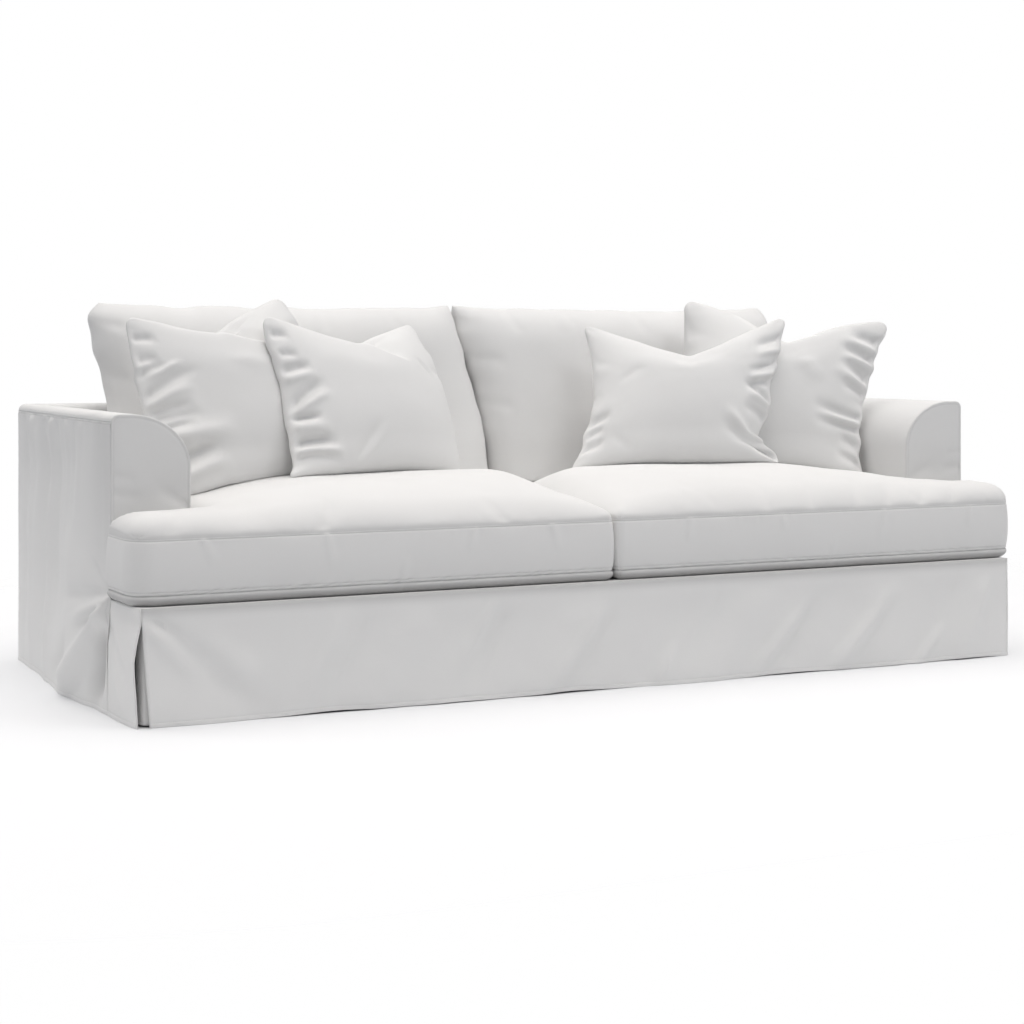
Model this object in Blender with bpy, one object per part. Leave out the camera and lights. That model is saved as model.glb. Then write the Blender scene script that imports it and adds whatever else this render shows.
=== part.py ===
"""Sofa slipcover: the fitted cloth cover of a deep two-seat sofa, with its cushion and pillow covers.

The cover is hollow and open at the floor, and the sofa that it fits is left out. Metres, +Z up, the
front faces -Y and the origin is on the floor under the middle of the whole. Inside this file y is
measured backwards from the front skirt, and x outwards from the middle; place() moves that to the
origin.
"""

import math
from typing import NamedTuple

import bpy
import numpy as np
from mathutils import Vector
from mathutils.bvhtree import BVHTree

# Cloth
CLOTH = 0.003  # thickness of a cloth panel
GAP = 0.0003  # between a panel and the piece that it is sewn to
SEAM_PLAY = 0.0011  # the same where two panels meet round a soft edge
REST_GAP = 0.0006  # between a filled cover and what it rests on
SAME_POINT = 0.00001  # points this close are one

# The body of the cover
DEPTH = 1.110  # from the front skirt to the outside back
HALF_FRONT = 1.180  # from the middle to an outside arm, at the arm's front
HALF_REAR = 1.172  # the same at the back
HALF_SKIRT = 1.174  # from the middle to the skirt's corner
ARM_FRONT = 0.202  # from the front skirt back to the arm's front
TOP = 0.664  # height of the arms and of the back
ROUND = 0.018  # radius of the soft edges round the top
SEAM = TOP - ROUND  # height of the seam where the outside panels end
ARM_INSIDE = 0.997  # from the middle to the arm's inner face
ARCH_WIDE = 0.140  # the arm's inner top edge is a quarter of this ellipse
ARCH_HIGH = 0.122
BACK_FACE = 0.970  # from the front skirt back to the inside back
BACK_SUNK = 0.008  # how far the outside back hangs in behind its edges
BACK_TOP_END = 1.130  # from the middle to the end of the back's top
ARM_STATIONS = (0.0, 0.06, 0.13, 0.20, 0.28, 0.39, 0.49, 0.60, 0.71, 0.81, 0.92, 1.0)
ARM_LEVELS = (0.0, 0.045, 0.11, 0.17, 0.23, 0.29, 0.36, 0.42, 0.50, 0.60, 0.71, 0.82, 0.93, 1.0)
DECK = 0.2552  # top of the seat deck
CORNER_FLARE = 0.012  # how far the side skirt swings out at that corner
SLIT = 0.018  # how far the front skirt stands back from its corner at the hem

# The seat cushions
SEAT_FRONT = 0.014
SEAT_REAR = 0.960
SEAT_INNER = 0.005
SEAT_OUTER = 0.989
EAR_OUTER = {"left": 1.188, "right": 1.212}
EAR_REAR = 0.190
SEAT_CORNER = 0.045  # radius of the cushion's front corners in plan
SEAT_BOTTOM = DECK + REST_GAP
LOWER_SEAM = 0.2785
UPPER_SEAM = 0.401
CROWN = 0.100  # how far the top swells over the upper seam
CROWN_REACH = 0.31  # how far in from an edge the swelling goes on
ARM_REACH = 0.22  # the same beside an arm, where the cushion is squeezed
EAR_CROWN = 0.44  # the ear's swelling, as a share of the crown
SQUEEZED = 0.30  # the least swelling beside an arm, as a share of the crown
SEAT_PRESSED = 0.440  # height of the flat that the back cushions sit on
PRESSED_FROM = 0.440  # where the top starts to sink towards that flat
PRESSED_TO = 0.660  # where that flat starts

# The back cushions
BACK_COLUMNS = 15
BACK_ROWS = 12
BACK_INNER = 0.003
BACK_LEAN_FOOT = 0.046  # how far the line between them leans to the right at the seat
BACK_LEAN = 0.066  # how much less at the top
BACK_LEAN_LEAST = -0.012
BACK_OUTER = 0.990  # between the arms
BACK_EAR = 1.040  # over the arms
BACK_TOP = 0.926
BACK_FOOT_Y = 0.850  # middle of its thickness at the bottom
BACK_HEAD_Y = 0.930  # and at the top
BACK_HALF = 0.122  # half of its thickness

# The throw pillows
PILLOW_CELLS = 12
PILLOW_LEAST = 0.012  # least thickness where a pillow is pressed
PILLOW_LIFT = 0.012  # how far the middle of its lower edge is pushed up
DENT_WIDE = 0.42  # half width of its top edge's dent, as a share of its own half width
PRESS_GAP = 0.004  # between a pillow and what it leans on, at the grid's points
MOST_SHIFT = 0.030  # how far a pillow may be moved to meet what it rests on

WHITE = (0.80, 0.79, 0.765, 1.0)


class Fold(NamedTuple):
    """A soft ridge, or a trough if its height is under 0, between two points of a panel."""

    along_from: float
    up_from: float
    along_to: float
    up_to: float
    width: float
    height: float


class Wave(NamedTuple):
    """A place where a hem swings out and lifts off the floor."""

    along: float
    width: float
    out: float
    lift: float


class Pillow(NamedTuple):
    """A throw pillow: its corners as (x, y, z), how far its sides bow out, and its top edge's dent."""

    name: str
    top_left: tuple
    top_right: tuple
    bottom_right: tuple
    bottom_left: tuple
    thickness: float
    bow: float
    dent_at: float
    dent: float
    behind: tuple


# Outside arm: along runs from the arm's front to the back, up from the floor.
ARM_FOLDS = {
    "left": (
        Fold(0.010, 0.235, 0.105, 0.225, 0.022, 0.007),
        Fold(0.012, 0.215, 0.150, 0.080, 0.032, 0.012),
        Fold(0.110, 0.110, 0.180, 0.040, 0.030, -0.009),
        Fold(0.040, 0.300, 0.260, 0.300, 0.060, -0.005),
        Fold(0.300, 0.040, 0.340, 0.330, 0.060, 0.007),
        Fold(0.520, 0.030, 0.500, 0.560, 0.035, 0.006),
        Fold(0.600, 0.060, 0.600, 0.600, 0.030, -0.005),
        Fold(0.710, 0.020, 0.690, 0.610, 0.034, 0.007),
        Fold(0.800, 0.040, 0.790, 0.590, 0.026, -0.004),
    ),
    "right": (
        Fold(0.012, 0.230, 0.130, 0.120, 0.034, 0.009),
        Fold(0.150, 0.060, 0.230, 0.300, 0.040, -0.006),
        Fold(0.380, 0.030, 0.400, 0.420, 0.050, 0.007),
        Fold(0.560, 0.040, 0.540, 0.580, 0.034, 0.006),
        Fold(0.660, 0.060, 0.650, 0.560, 0.030, -0.005),
        Fold(0.780, 0.030, 0.770, 0.600, 0.030, 0.006),
    ),
}
ARM_HEM = {
    "left": (
        Wave(0.03, 0.08, -0.004, 0.002),
        Wave(0.22, 0.09, 0.002, 0.005),
        Wave(0.45, 0.12, 0.022, 0.000),
        Wave(0.68, 0.09, 0.006, 0.004),
    ),
    "right": (
        Wave(0.06, 0.09, 0.004, 0.000),
        Wave(0.30, 0.10, 0.014, 0.006),
        Wave(0.58, 0.10, 0.004, 0.000),
        Wave(0.78, 0.08, 0.010, 0.007),
    ),
}

# Front skirt: along is x from the middle, up from the floor.
SKIRT_FOLDS = (
    Fold(-1.150, 0.235, -0.940, 0.110, 0.030, 0.008),
    Fold(-1.100, 0.130, -0.900, 0.020, 0.040, -0.006),
    Fold(-0.640, 0.030, -0.520, 0.210, 0.040, 0.007),
    Fold(-0.420, 0.020, -0.290, 0.220, 0.036, -0.006),
    Fold(-0.220, 0.030, -0.090, 0.200, 0.042, 0.008),
    Fold(0.080, 0.030, 0.200, 0.210, 0.036, -0.006),
    Fold(0.270, 0.020, 0.400, 0.200, 0.042, 0.008),
    Fold(0.500, 0.040, 0.620, 0.220, 0.034, -0.006),
    Fold(0.660, 0.020, 0.800, 0.210, 0.040, 0.008),
    Fold(0.860, 0.030, 0.960, 0.200, 0.036, -0.005),
    Fold(1.020, 0.020, 1.090, 0.200, 0.034, 0.006),
)
SKIRT_HEM = (
    Wave(-1.02, 0.12, 0.006, 0.000),
    Wave(-0.74, 0.11, -0.002, 0.007),
    Wave(-0.44, 0.12, 0.010, 0.002),
    Wave(-0.14, 0.10, 0.002, 0.008),
    Wave(0.18, 0.12, 0.012, 0.000),
    Wave(0.50, 0.11, 0.002, 0.006),
    Wave(0.80, 0.12, 0.010, 0.001),
    Wave(1.04, 0.09, 0.004, 0.007),
)

BACK_FOLDS = (
    Fold(-0.900, 0.040, -0.880, 0.560, 0.050, 0.006),
    Fold(-0.520, 0.030, -0.560, 0.500, 0.060, -0.006),
    Fold(-0.180, 0.040, -0.160, 0.580, 0.050, 0.007),
    Fold(0.240, 0.030, 0.260, 0.480, 0.060, -0.005),
    Fold(0.620, 0.040, 0.600, 0.560, 0.050, 0.007),
    Fold(0.960, 0.030, 0.940, 0.500, 0.045, -0.005),
)
BACK_HEM = (
    Wave(-0.88, 0.14, 0.000, 0.005),
    Wave(-0.48, 0.14, 0.000, 0.000),
    Wave(-0.10, 0.14, 0.000, 0.006),
    Wave(0.34, 0.14, 0.000, 0.001),
    Wave(0.80, 0.14, 0.000, 0.006),
)

PILLOWS = (
    Pillow(
        name="throw_pillow_left_rear",
        top_left=(-1.066, 0.520, 0.882),
        top_right=(-0.590, 0.740, 0.938),
        bottom_right=(-0.500, 0.600, 0.462),
        bottom_left=(-0.978, 0.400, 0.470),
        thickness=0.165,
        bow=-0.003,
        dent_at=0.06,
        dent=0.092,
        behind=("back_cushion_left", "arm_cover_left"),
    ),
    Pillow(
        name="throw_pillow_left_front",
        top_left=(-0.704, 0.520, 0.884),
        top_right=(-0.206, 0.720, 0.870),
        bottom_right=(-0.134, 0.560, 0.492),
        bottom_left=(-0.672, 0.360, 0.498),
        thickness=0.165,
        bow=0.010,
        dent_at=0.12,
        dent=0.092,
        behind=("back_cushion_left", "throw_pillow_left_rear"),
    ),
    Pillow(
        name="throw_pillow_right_rear",
        top_left=(0.616, 0.720, 0.934),
        top_right=(1.112, 0.440, 0.874),
        bottom_right=(0.966, 0.360, 0.468),
        bottom_left=(0.500, 0.600, 0.462),
        thickness=0.165,
        bow=-0.012,
        dent_at=-0.06,
        dent=0.080,
        behind=("back_cushion_right", "arm_cover_right"),
    ),
    Pillow(
        name="throw_pillow_right_front",
        top_left=(0.262, 0.690, 0.868),
        top_right=(0.804, 0.490, 0.892),
        bottom_right=(0.690, 0.350, 0.495),
        bottom_left=(0.140, 0.520, 0.490),
        thickness=0.165,
        bow=-0.046,
        dent_at=0.05,
        dent=0.100,
        behind=("back_cushion_right", "throw_pillow_right_rear"),
    ),
)


def clear_scene():
    """Remove every object that the file starts with."""
    for old in list(bpy.data.objects):
        bpy.data.objects.remove(old, do_unlink=True)


def cloth_material(name):
    """Return a matt off-white cotton for the node of this name."""
    material = bpy.data.materials.new(name + "_cloth")
    material.use_nodes = True
    shader = material.node_tree.nodes["Principled BSDF"]
    shader.inputs["Base Color"].default_value = WHITE
    shader.inputs["Roughness"].default_value = 0.9
    shader.inputs["Metallic"].default_value = 0.0
    material.diffuse_color = WHITE
    return material


def place(points):
    """Move points from this file's y, measured from the skirt, to the origin under the middle."""
    return np.asarray(points, float) - np.array([0.0, DEPTH / 2, 0.0])


def add_object(name, points, faces):
    """Make one node from its points and faces, with points that coincide made one."""
    order, kept, sewn = {}, [], []
    places = place(points)
    for face in faces:
        corners = []
        for i in face:
            key = tuple(np.round(places[i] / SAME_POINT).astype(int))
            if key not in order:
                order[key] = len(kept)
                kept.append(tuple(places[i]))
            if order[key] not in corners:
                corners.append(order[key])
        if len(corners) > 2:
            sewn.append(tuple(corners))
    mesh = bpy.data.meshes.new(name)
    mesh.from_pydata(kept, [], sewn)
    mesh.shade_smooth()
    mesh.set_sharp_from_angle(angle=math.radians(50))
    obj = bpy.data.objects.new(name, mesh)
    obj.data.materials.append(cloth_material(name))
    bpy.context.scene.collection.objects.link(obj)
    return obj


def grid_faces(rows, columns, keep=None):
    """Quads of a grid whose points are numbered row by row; keep says which cells stay."""
    return [
        (
            r * columns + c,
            r * columns + c + 1,
            (r + 1) * columns + c + 1,
            (r + 1) * columns + c,
        )
        for r in range(rows - 1)
        for c in range(columns - 1)
        if keep is None or keep[r][c]
    ]


def sheet(name, outer, keep=None):
    """Make a cloth panel from the grid of points on its outer face, thickened inwards."""
    rows, columns = outer.shape[:2]
    obj = add_object(name, outer.reshape(-1, 3), grid_faces(rows, columns, keep))
    thick = obj.modifiers.new("cloth", "SOLIDIFY")
    thick.thickness = CLOTH
    thick.offset = -1.0
    thick.use_even_offset = True
    return obj


def mirrored(points):
    """Mirror a grid to the other side of the sofa, its columns turned so that it still faces out."""
    return (points * np.array([-1.0, 1.0, 1.0]))[:, ::-1]


def soft_step(value):
    """Go smoothly from 0 to 1 as value does."""
    t = np.clip(value, 0.0, 1.0)
    return t * t * (3 - 2 * t)


def swelling(distance, reach, power=2.6):
    """Rise from 0 at an edge to 1 at reach from it, steeply at first."""
    return 1 - (1 - np.clip(distance / reach, 0.0, 1.0)) ** power


def relief(folds, along, up):
    """How far the folds lift a panel at these places."""
    total = np.zeros(np.broadcast(along, up).shape)
    for fold in folds:
        run = np.array([fold.along_to - fold.along_from, fold.up_to - fold.up_from])
        a, b = along - fold.along_from, up - fold.up_from
        share = np.clip((a * run[0] + b * run[1]) / (run @ run), 0.0, 1.0)
        away = np.hypot(a - share * run[0], b - share * run[1])
        total = total + fold.height * np.exp(-((away / fold.width) ** 2))
    return total


def hem(waves, along):
    """How far a hem swings out and lifts at these places along it."""
    out, lift = np.zeros_like(along), np.zeros_like(along)
    for wave in waves:
        share = np.exp(-(((along - wave.along) / wave.width) ** 2))
        out = out + wave.out * share
        lift = lift + wave.lift * share
    return out, lift


def half_width(y):
    """From the middle to the outside arm at this depth."""
    share = np.clip((y - ARM_FRONT) / (DEPTH - ARM_FRONT), 0.0, 1.0)
    return HALF_FRONT + (HALF_REAR - HALF_FRONT) * share


def arch(x):
    """Height of the arm's top at this distance from the middle."""
    share = np.clip((ARM_INSIDE + ARCH_WIDE - x) / ARCH_WIDE, 0.0, 1.0)
    return TOP - ARCH_HIGH * (1 - np.sqrt(1 - share**2))


def rounded(depth_x, depth_y):
    """Put a place near a top corner, as shares of ROUND past the flat, on a ball of that radius."""
    x = ROUND * depth_x * np.sqrt(1 - depth_y**2 / 2)
    y = ROUND * depth_y * np.sqrt(1 - depth_x**2 / 2)
    return x, y, np.sqrt(np.maximum(ROUND**2 - x**2 - y**2, 0.0))


def outside_arm(side):
    """Outside arm panel: from the floor to the top seam, and half way round the rear corner."""
    start = ARM_FRONT + GAP
    straight = start + np.array(ARM_STATIONS) * (DEPTH - ROUND - start)
    turn = np.radians([15.0, 30.0, 43.0])
    y = np.concatenate([straight, DEPTH - ROUND + ROUND * np.sin(turn)])
    x = np.concatenate([half_width(straight), HALF_REAR - ROUND + ROUND * np.cos(turn)])
    out_x = np.concatenate([np.ones_like(straight), np.cos(turn)])
    out_y = np.concatenate([np.zeros_like(straight), np.sin(turn)])
    up = np.array(ARM_LEVELS) * (SEAM - SEAM_PLAY)
    along = y - ARM_FRONT
    swing, lift = hem(ARM_HEM[side], along)
    rear_calm = 1 - soft_step((y - DEPTH + 0.10) / 0.09)
    top_calm = 1 - soft_step((up - SEAM + 0.09) / 0.08)
    ease = soft_step((along - 0.002) / 0.03)
    moved = relief(ARM_FOLDS[side], along[None, :], up[:, None])
    moved = moved * top_calm[:, None] * ease[None, :]
    low = (1 - soft_step(up / 0.16))[:, None]
    moved = (moved + low * swing[None, :]) * rear_calm[None, :]
    z = up[:, None] + lift[None, :] * (1 - up[:, None] / SEAM) * rear_calm[None, :]
    grid = np.stack([x + out_x * moved, y + out_y * moved, z], axis=-1)
    return sheet("outside_arm_" + side, grid if side == "right" else mirrored(grid))


def arm_section():
    """Shares and places across an arm cover: outer rounding, flat, arch and inner face."""
    turn = np.radians([0.0, 22.5, 45.0, 67.5, 90.0])
    arc = np.radians([18.0, 32.0, 46.0, 60.0, 75.0, 90.0])
    drops = np.array([0.36, 0.70, 1.0])
    inner = [(ARM_INSIDE + ARCH_WIDE, TOP), (BACK_TOP_END + GAP, TOP)]
    inner += [
        (ARM_INSIDE + ARCH_WIDE * (1 - math.sin(a)), TOP - ARCH_HIGH * (1 - math.cos(a)))
        for a in arc
    ]
    foot = DECK + GAP
    inner += [(ARM_INSIDE, TOP - ARCH_HIGH - d * (TOP - ARCH_HIGH - foot)) for d in drops]
    return np.cos(turn), np.array(inner)


def arm_cover(side):
    """Arm cover: top and inside arm in one piece, from the outer top seam over to the deck."""
    shares, inner = arm_section()
    front = np.linspace(ARM_FRONT + GAP, BACK_FACE - GAP, 8)
    rear_flat = np.array([DEPTH - ROUND])
    rear_turn = np.sin(np.radians([22.5, 45.0, 67.5, 90.0]))
    y = np.concatenate([front, rear_flat, np.full(4, DEPTH - ROUND)])
    past = np.concatenate([np.zeros(9), rear_turn])
    rows = []
    for share in shares:
        dx, dy, dz = rounded(np.full_like(y, share), past)
        height = SEAM + GAP + dz * (1 - GAP / ROUND)
        rows.append(np.stack([half_width(y) - ROUND + dx, y + dy, height], axis=-1))
    for x, z in inner:
        _, dy, dz = rounded(np.zeros_like(y), past)
        sunk = z - TOP + SEAM + dz
        rows.append(np.stack([np.full_like(y, x), y + dy, sunk], axis=-1))
    grid = np.array(rows)
    keep = np.ones((len(rows) - 1, len(y) - 1), bool)
    keep[len(shares) + 1 :, len(front) - 1 :] = False
    if side == "left":
        grid, keep = mirrored(grid), keep[:, ::-1]
    return sheet("arm_cover_" + side, grid, keep)


def arm_front(side):
    """Arm front facing: a flat panel with the arch's outline, a little full in its middle."""
    turn = np.radians([0.0, 30.0, 60.0, 90.0])
    arc = np.radians([0.0, 30.0, 46.0, 60.0, 75.0, 90.0])
    outer = [
        (HALF_FRONT - ROUND + ROUND * math.cos(a), SEAM + ROUND * math.sin(a)) for a in turn
    ]
    inner = [
        (ARM_INSIDE + ARCH_WIDE * (1 - math.sin(a)), TOP - ARCH_HIGH * (1 - math.cos(a)))
        for a in arc
    ]
    head = np.array((outer + inner)[::-1])
    foot = DECK + GAP
    share = np.linspace(0.0, 1.0, 8)[:, None]
    z = foot + (head[None, :, 1] - foot) * share
    x = np.broadcast_to(head[:, 0], z.shape)
    middle = (HALF_FRONT + ARM_INSIDE) / 2
    half = (HALF_FRONT - ARM_INSIDE) / 2
    full = np.clip(1 - ((x - middle) / half) ** 2, 0, 1) * (1 - share**6) * 0.004
    y = ARM_FRONT - CLOTH - full
    grid = np.stack([x, y, z], axis=-1)
    return sheet("arm_front_" + side, grid if side == "right" else mirrored(grid))


def inside_back():
    """Inside back and back top in one piece, shaped over the arms at its ends."""
    level = ARM_INSIDE + ARCH_WIDE * (1 - math.sqrt(1 - (1 - ROUND / ARCH_HIGH) ** 2))
    level = 2 * ARM_INSIDE + ARCH_WIDE - level
    ends = np.array([BACK_TOP_END, 1.098, level, 1.040, 1.016, ARM_INSIDE])
    middle = np.linspace(ARM_INSIDE, -ARM_INSIDE, 13)[1:-1]
    x = np.concatenate([-ends, middle[::-1], ends[::-1]])
    over_arm = np.abs(x) > ARM_INSIDE - 1e-6
    sill = np.where(over_arm, arch(np.abs(x)) + GAP, TOP - ARCH_HIGH)
    sill = np.minimum(sill, TOP - 2 * GAP)
    foot = DECK + GAP
    low = [np.full_like(x, foot + s * (TOP - ARCH_HIGH - foot)) for s in (0.0, 0.34, 0.68)]
    low += [sill, sill + np.maximum(SEAM - sill, 0) * 0.55]
    rows = [np.stack([x, np.full_like(x, BACK_FACE), z], axis=-1) for z in low]
    first = np.arcsin(np.clip((sill - SEAM) / ROUND, 0.0, 1.0))
    for share in (0.0, 0.34, 0.67, 1.0):
        angle = first + (math.pi / 2 - first) * share
        y = BACK_FACE + ROUND * (1 - np.cos(angle))
        rows.append(np.stack([x, y, SEAM + ROUND * np.sin(angle)], axis=-1))
    for angle in np.radians([90.0, 60.0, 30.0, 0.0]):
        y = DEPTH - ROUND + ROUND * math.cos(angle)
        z = SEAM + GAP + (ROUND - GAP) * math.sin(angle)
        rows.append(np.stack([x, np.full_like(x, y), np.full_like(x, z)], axis=-1))
    grid = np.array(rows)
    keep = np.ones((len(rows) - 1, len(x) - 1), bool)
    below, above_level = len(ends) - 1, 2
    for cut in (slice(None, below), slice(-below, None)):
        keep[:3, cut] = False
    for cut in (slice(None, above_level), slice(-above_level, None)):
        keep[3:5, cut] = False
    return sheet("inside_back", grid, keep)


def outside_back():
    """Outside back panel: from the floor to the top seam, and half way round both corners."""
    turn = np.radians([47.0, 60.0, 75.0])
    corner_x = HALF_REAR - ROUND + ROUND * np.cos(turn)
    corner_y = DEPTH - ROUND + ROUND * np.sin(turn)
    flat = np.linspace(HALF_REAR - ROUND, -(HALF_REAR - ROUND), 20)
    x = np.concatenate([corner_x, flat, -corner_x[::-1]])
    y = np.concatenate([corner_y, np.full_like(flat, DEPTH), corner_y[::-1]])
    up = np.linspace(0.0, SEAM - SEAM_PLAY, 9)
    calm = (1 - soft_step((np.abs(x) - HALF_REAR + 0.16) / 0.12)) * 0.8
    top_calm = 1 - soft_step((up - SEAM + 0.12) / 0.10)
    _, lift = hem(BACK_HEM, x)
    moved = relief(BACK_FOLDS, x[None, :], up[:, None]) * calm[None, :] * top_calm[:, None]
    z = up[:, None] + lift[None, :] * calm[None, :] * (1 - up[:, None] / SEAM)
    moved = moved - BACK_SUNK * calm[None, :] * top_calm[:, None]
    grid = np.stack([np.broadcast_to(x, z.shape), y + moved, z], axis=-1)
    return sheet("outside_back", grid)


def seat_deck():
    """Seat deck: one flat panel under the cushions, with an ear in front of each arm."""
    ear = HALF_SKIRT - CLOTH - GAP
    body = ARM_INSIDE + CLOTH
    x = np.array([-ear, -body, -0.5, 0.0, 0.5, body, ear])
    y = np.array([CLOTH + GAP, ARM_FRONT, 0.45, 0.70, BACK_FACE + CLOTH])
    grid = np.stack(np.broadcast_arrays(x[None, :], y[:, None], DECK), axis=-1)
    keep = np.ones((len(y) - 1, len(x) - 1), bool)
    keep[1:, 0] = False
    keep[1:, -1] = False
    return sheet("seat_deck", grid, keep)


def slit_width(up):
    """How far the front skirt stands back from its corner at this height."""
    return 0.0015 + SLIT * np.clip((DECK - 0.030 - up) / (DECK - 0.030), 0.0, 1.0)


def front_skirt():
    """Front skirt: one wide panel that hangs from the deck to the floor between the corner slits."""
    up = np.array([0.0, 0.035, 0.075, 0.12, 0.165, 0.205, 0.235, DECK])
    share = np.linspace(-1.0, 1.0, 49)
    half = HALF_SKIRT - slit_width(up)
    x = half[:, None] * share[None, :]
    swing, lift = hem(SKIRT_HEM, share * HALF_SKIRT)
    edge = soft_step((1 - np.abs(share)) / 0.03)
    calm = (1 - soft_step((up - 0.17) / 0.06))[:, None]
    low = (1 - soft_step(up / 0.18))[:, None]
    moved = relief(SKIRT_FOLDS, x, up[:, None]) * calm * (0.25 + 0.75 * edge) + low * swing
    z = up[:, None] + lift * edge * (1 - up[:, None] / DECK)
    grid = np.stack([x, -moved, z], axis=-1)
    return sheet("front_skirt", grid)


def skirt_corner(side):
    """Short side skirt in front of an arm, between the arm's seam and the corner slit."""
    up = np.array([0.0, 0.035, 0.075, 0.12, 0.165, 0.205, 0.235, DECK])
    share = np.linspace(0.0, 1.0, 6)
    start = np.full_like(up, CLOTH + 2 * GAP)
    y = start[:, None] + (ARM_FRONT - GAP - start[:, None]) * share[None, :]
    x = HALF_SKIRT + (HALF_FRONT - HALF_SKIRT) * share
    calm = (1 - soft_step((up - 0.17) / 0.06))[:, None]
    low = (1 - soft_step(up / 0.20))[:, None]
    flare = CORNER_FLARE * (1 - share)[None, :] * calm
    belly = np.sin(math.pi * share)[None, :] * 0.004 * calm
    swing, lift = hem(ARM_HEM[side], np.zeros(1))
    moved = flare + belly + low * (swing * share)[None, :]
    z = up[:, None] + lift * share[None, :] * (1 - up[:, None] / DECK)
    grid = np.stack([x[None, :] + moved, y, z], axis=-1)
    return sheet("skirt_corner_" + side, grid if side == "right" else mirrored(grid))


def corner_pleat(side):
    """Pleat backing behind a corner slit: a panel set across the corner, inside both skirts."""
    set_back = 0.012
    reach = 0.060
    up = np.array([0.004, 0.08, 0.16, DECK - CLOTH - GAP])
    outline = np.array(
        [
            (HALF_SKIRT - reach, set_back),
            (HALF_SKIRT - 0.030, set_back + 0.002),
            (HALF_SKIRT - set_back - 0.004, set_back + 0.006),
            (HALF_SKIRT - set_back, 0.030),
            (HALF_SKIRT - set_back, reach),
        ]
    )
    x = np.broadcast_to(outline[:, 0], (len(up), len(outline)))
    y = np.broadcast_to(outline[:, 1], (len(up), len(outline)))
    z = np.broadcast_to(up[:, None], (len(up), len(outline)))
    grid = np.stack([x, y, z], axis=-1)
    return sheet("corner_pleat_" + side, grid if side == "right" else mirrored(grid))


def seat_height(x, y, ear_outer):
    """Height of a seat cushion's top, x measured outwards from the middle."""
    inner = swelling(x - SEAT_INNER, CROWN_REACH)
    front = swelling(y - SEAT_FRONT, CROWN_REACH)
    rear = swelling(SEAT_REAR - y, 0.10)
    beside = SQUEEZED + (1 - SQUEEZED) * swelling(SEAT_OUTER - x, ARM_REACH)
    body = np.where(x < SEAT_OUTER, beside, 0.0)
    ear = EAR_CROWN * swelling(ear_outer - x, 0.07) * swelling(EAR_REAR - y, 0.03)
    wide = 1 - (1 - body) * (1 - ear)
    height = UPPER_SEAM + CROWN * inner * front * rear * wide
    pressed = soft_step((y - PRESSED_FROM) / (PRESSED_TO - PRESSED_FROM))
    return height + (np.minimum(height, SEAT_PRESSED) - height) * pressed


def rim_loop(faces):
    """Points round the outside of a patch of quads, in order."""
    sides = {(face[i], face[(i + 1) % 4]) for face in faces for i in range(4)}
    following = {a: b for a, b in sides if (b, a) not in sides}
    loop = [min(following)]
    while following[loop[-1]] != loop[0]:
        loop.append(following[loop[-1]])
    return loop


def round_corner(point, corner, radius):
    """Move a point of the rim on to the arc that takes the place of a sharp corner."""
    inward = np.sign(np.array([0.5, 0.5]) - corner)
    centre = corner + radius * inward
    offset = (point - centre) * -inward
    if (offset <= 0).any():
        return point
    return centre + (point - centre) * radius / np.hypot(*(point - centre))


def seat_cushion(side):
    """Boxed seat cushion: flat under, seams round its top and bottom, a crowned top and an ear."""
    ear_outer = EAR_OUTER[side]
    edge = np.array([0.0, 0.015, 0.030, SEAT_CORNER])
    x = np.concatenate(
        [
            SEAT_INNER + np.array([0.0, 0.03, 0.10]),
            np.linspace(SEAT_INNER, SEAT_OUTER, 8)[2:-1],
            SEAT_OUTER - np.array([0.035, 0.0]),
            ear_outer - np.array([0.14, 0.09]),
            ear_outer - edge[::-1],
        ]
    )
    y = np.concatenate(
        [
            SEAT_FRONT + edge,
            np.array([0.09, 0.13, 0.165, EAR_REAR, 0.24, 0.30, 0.37, 0.44, 0.51, 0.58]),
            np.array([PRESSED_TO, 0.80, 0.92, SEAT_REAR]),
        ]
    )
    rows, columns = len(y), len(x)
    ear_row = int(np.argmin(abs(y - EAR_REAR)))
    ear_column = int(np.argmin(abs(x - SEAT_OUTER)))
    keep = np.ones((rows - 1, columns - 1), bool)
    keep[ear_row:, ear_column:] = False
    top = grid_faces(rows, columns, keep)
    loop = rim_loop(top)
    plan = np.stack(np.broadcast_arrays(x[None, :], y[:, None]), axis=-1).reshape(-1, 2)
    for i in loop:
        plan[i] = round_corner(plan[i], np.array([ear_outer, SEAT_FRONT]), SEAT_CORNER)
    points = np.column_stack([plan, seat_height(plan[:, 0], plan[:, 1], ear_outer)])
    points[loop, 2] = UPPER_SEAM
    rim = plan[loop]
    ahead = np.roll(rim, -1, axis=0) - np.roll(rim, 1, axis=0)
    outward = np.column_stack([ahead[:, 1], -ahead[:, 0]])
    outward /= np.linalg.norm(outward, axis=1)[:, None]
    profile = (
        (0.004, UPPER_SEAM - 0.035),
        (0.004, LOWER_SEAM + 0.035),
        (0.000, LOWER_SEAM),
        (-0.003, LOWER_SEAM - 0.012),
        (-0.016, SEAT_BOTTOM),
    )
    count = len(loop)
    rings = [np.array(loop)]
    for out, height in profile:
        ring = np.column_stack([rim + outward * out, np.full(count, height)])
        rings.append(np.arange(len(points), len(points) + count))
        points = np.concatenate([points, ring])
    faces = list(top)
    for upper, lower in zip(rings, rings[1:]):
        for i in range(count):
            j = (i + 1) % count
            faces.append((upper[j], upper[i], lower[i], lower[j]))
    faces.append(tuple(rings[-1][::-1]))
    if side == "left":
        points = points * np.array([-1.0, 1.0, 1.0])
        faces = [face[::-1] for face in faces]
    return add_object("seat_cushion_" + side, points, faces)


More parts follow.
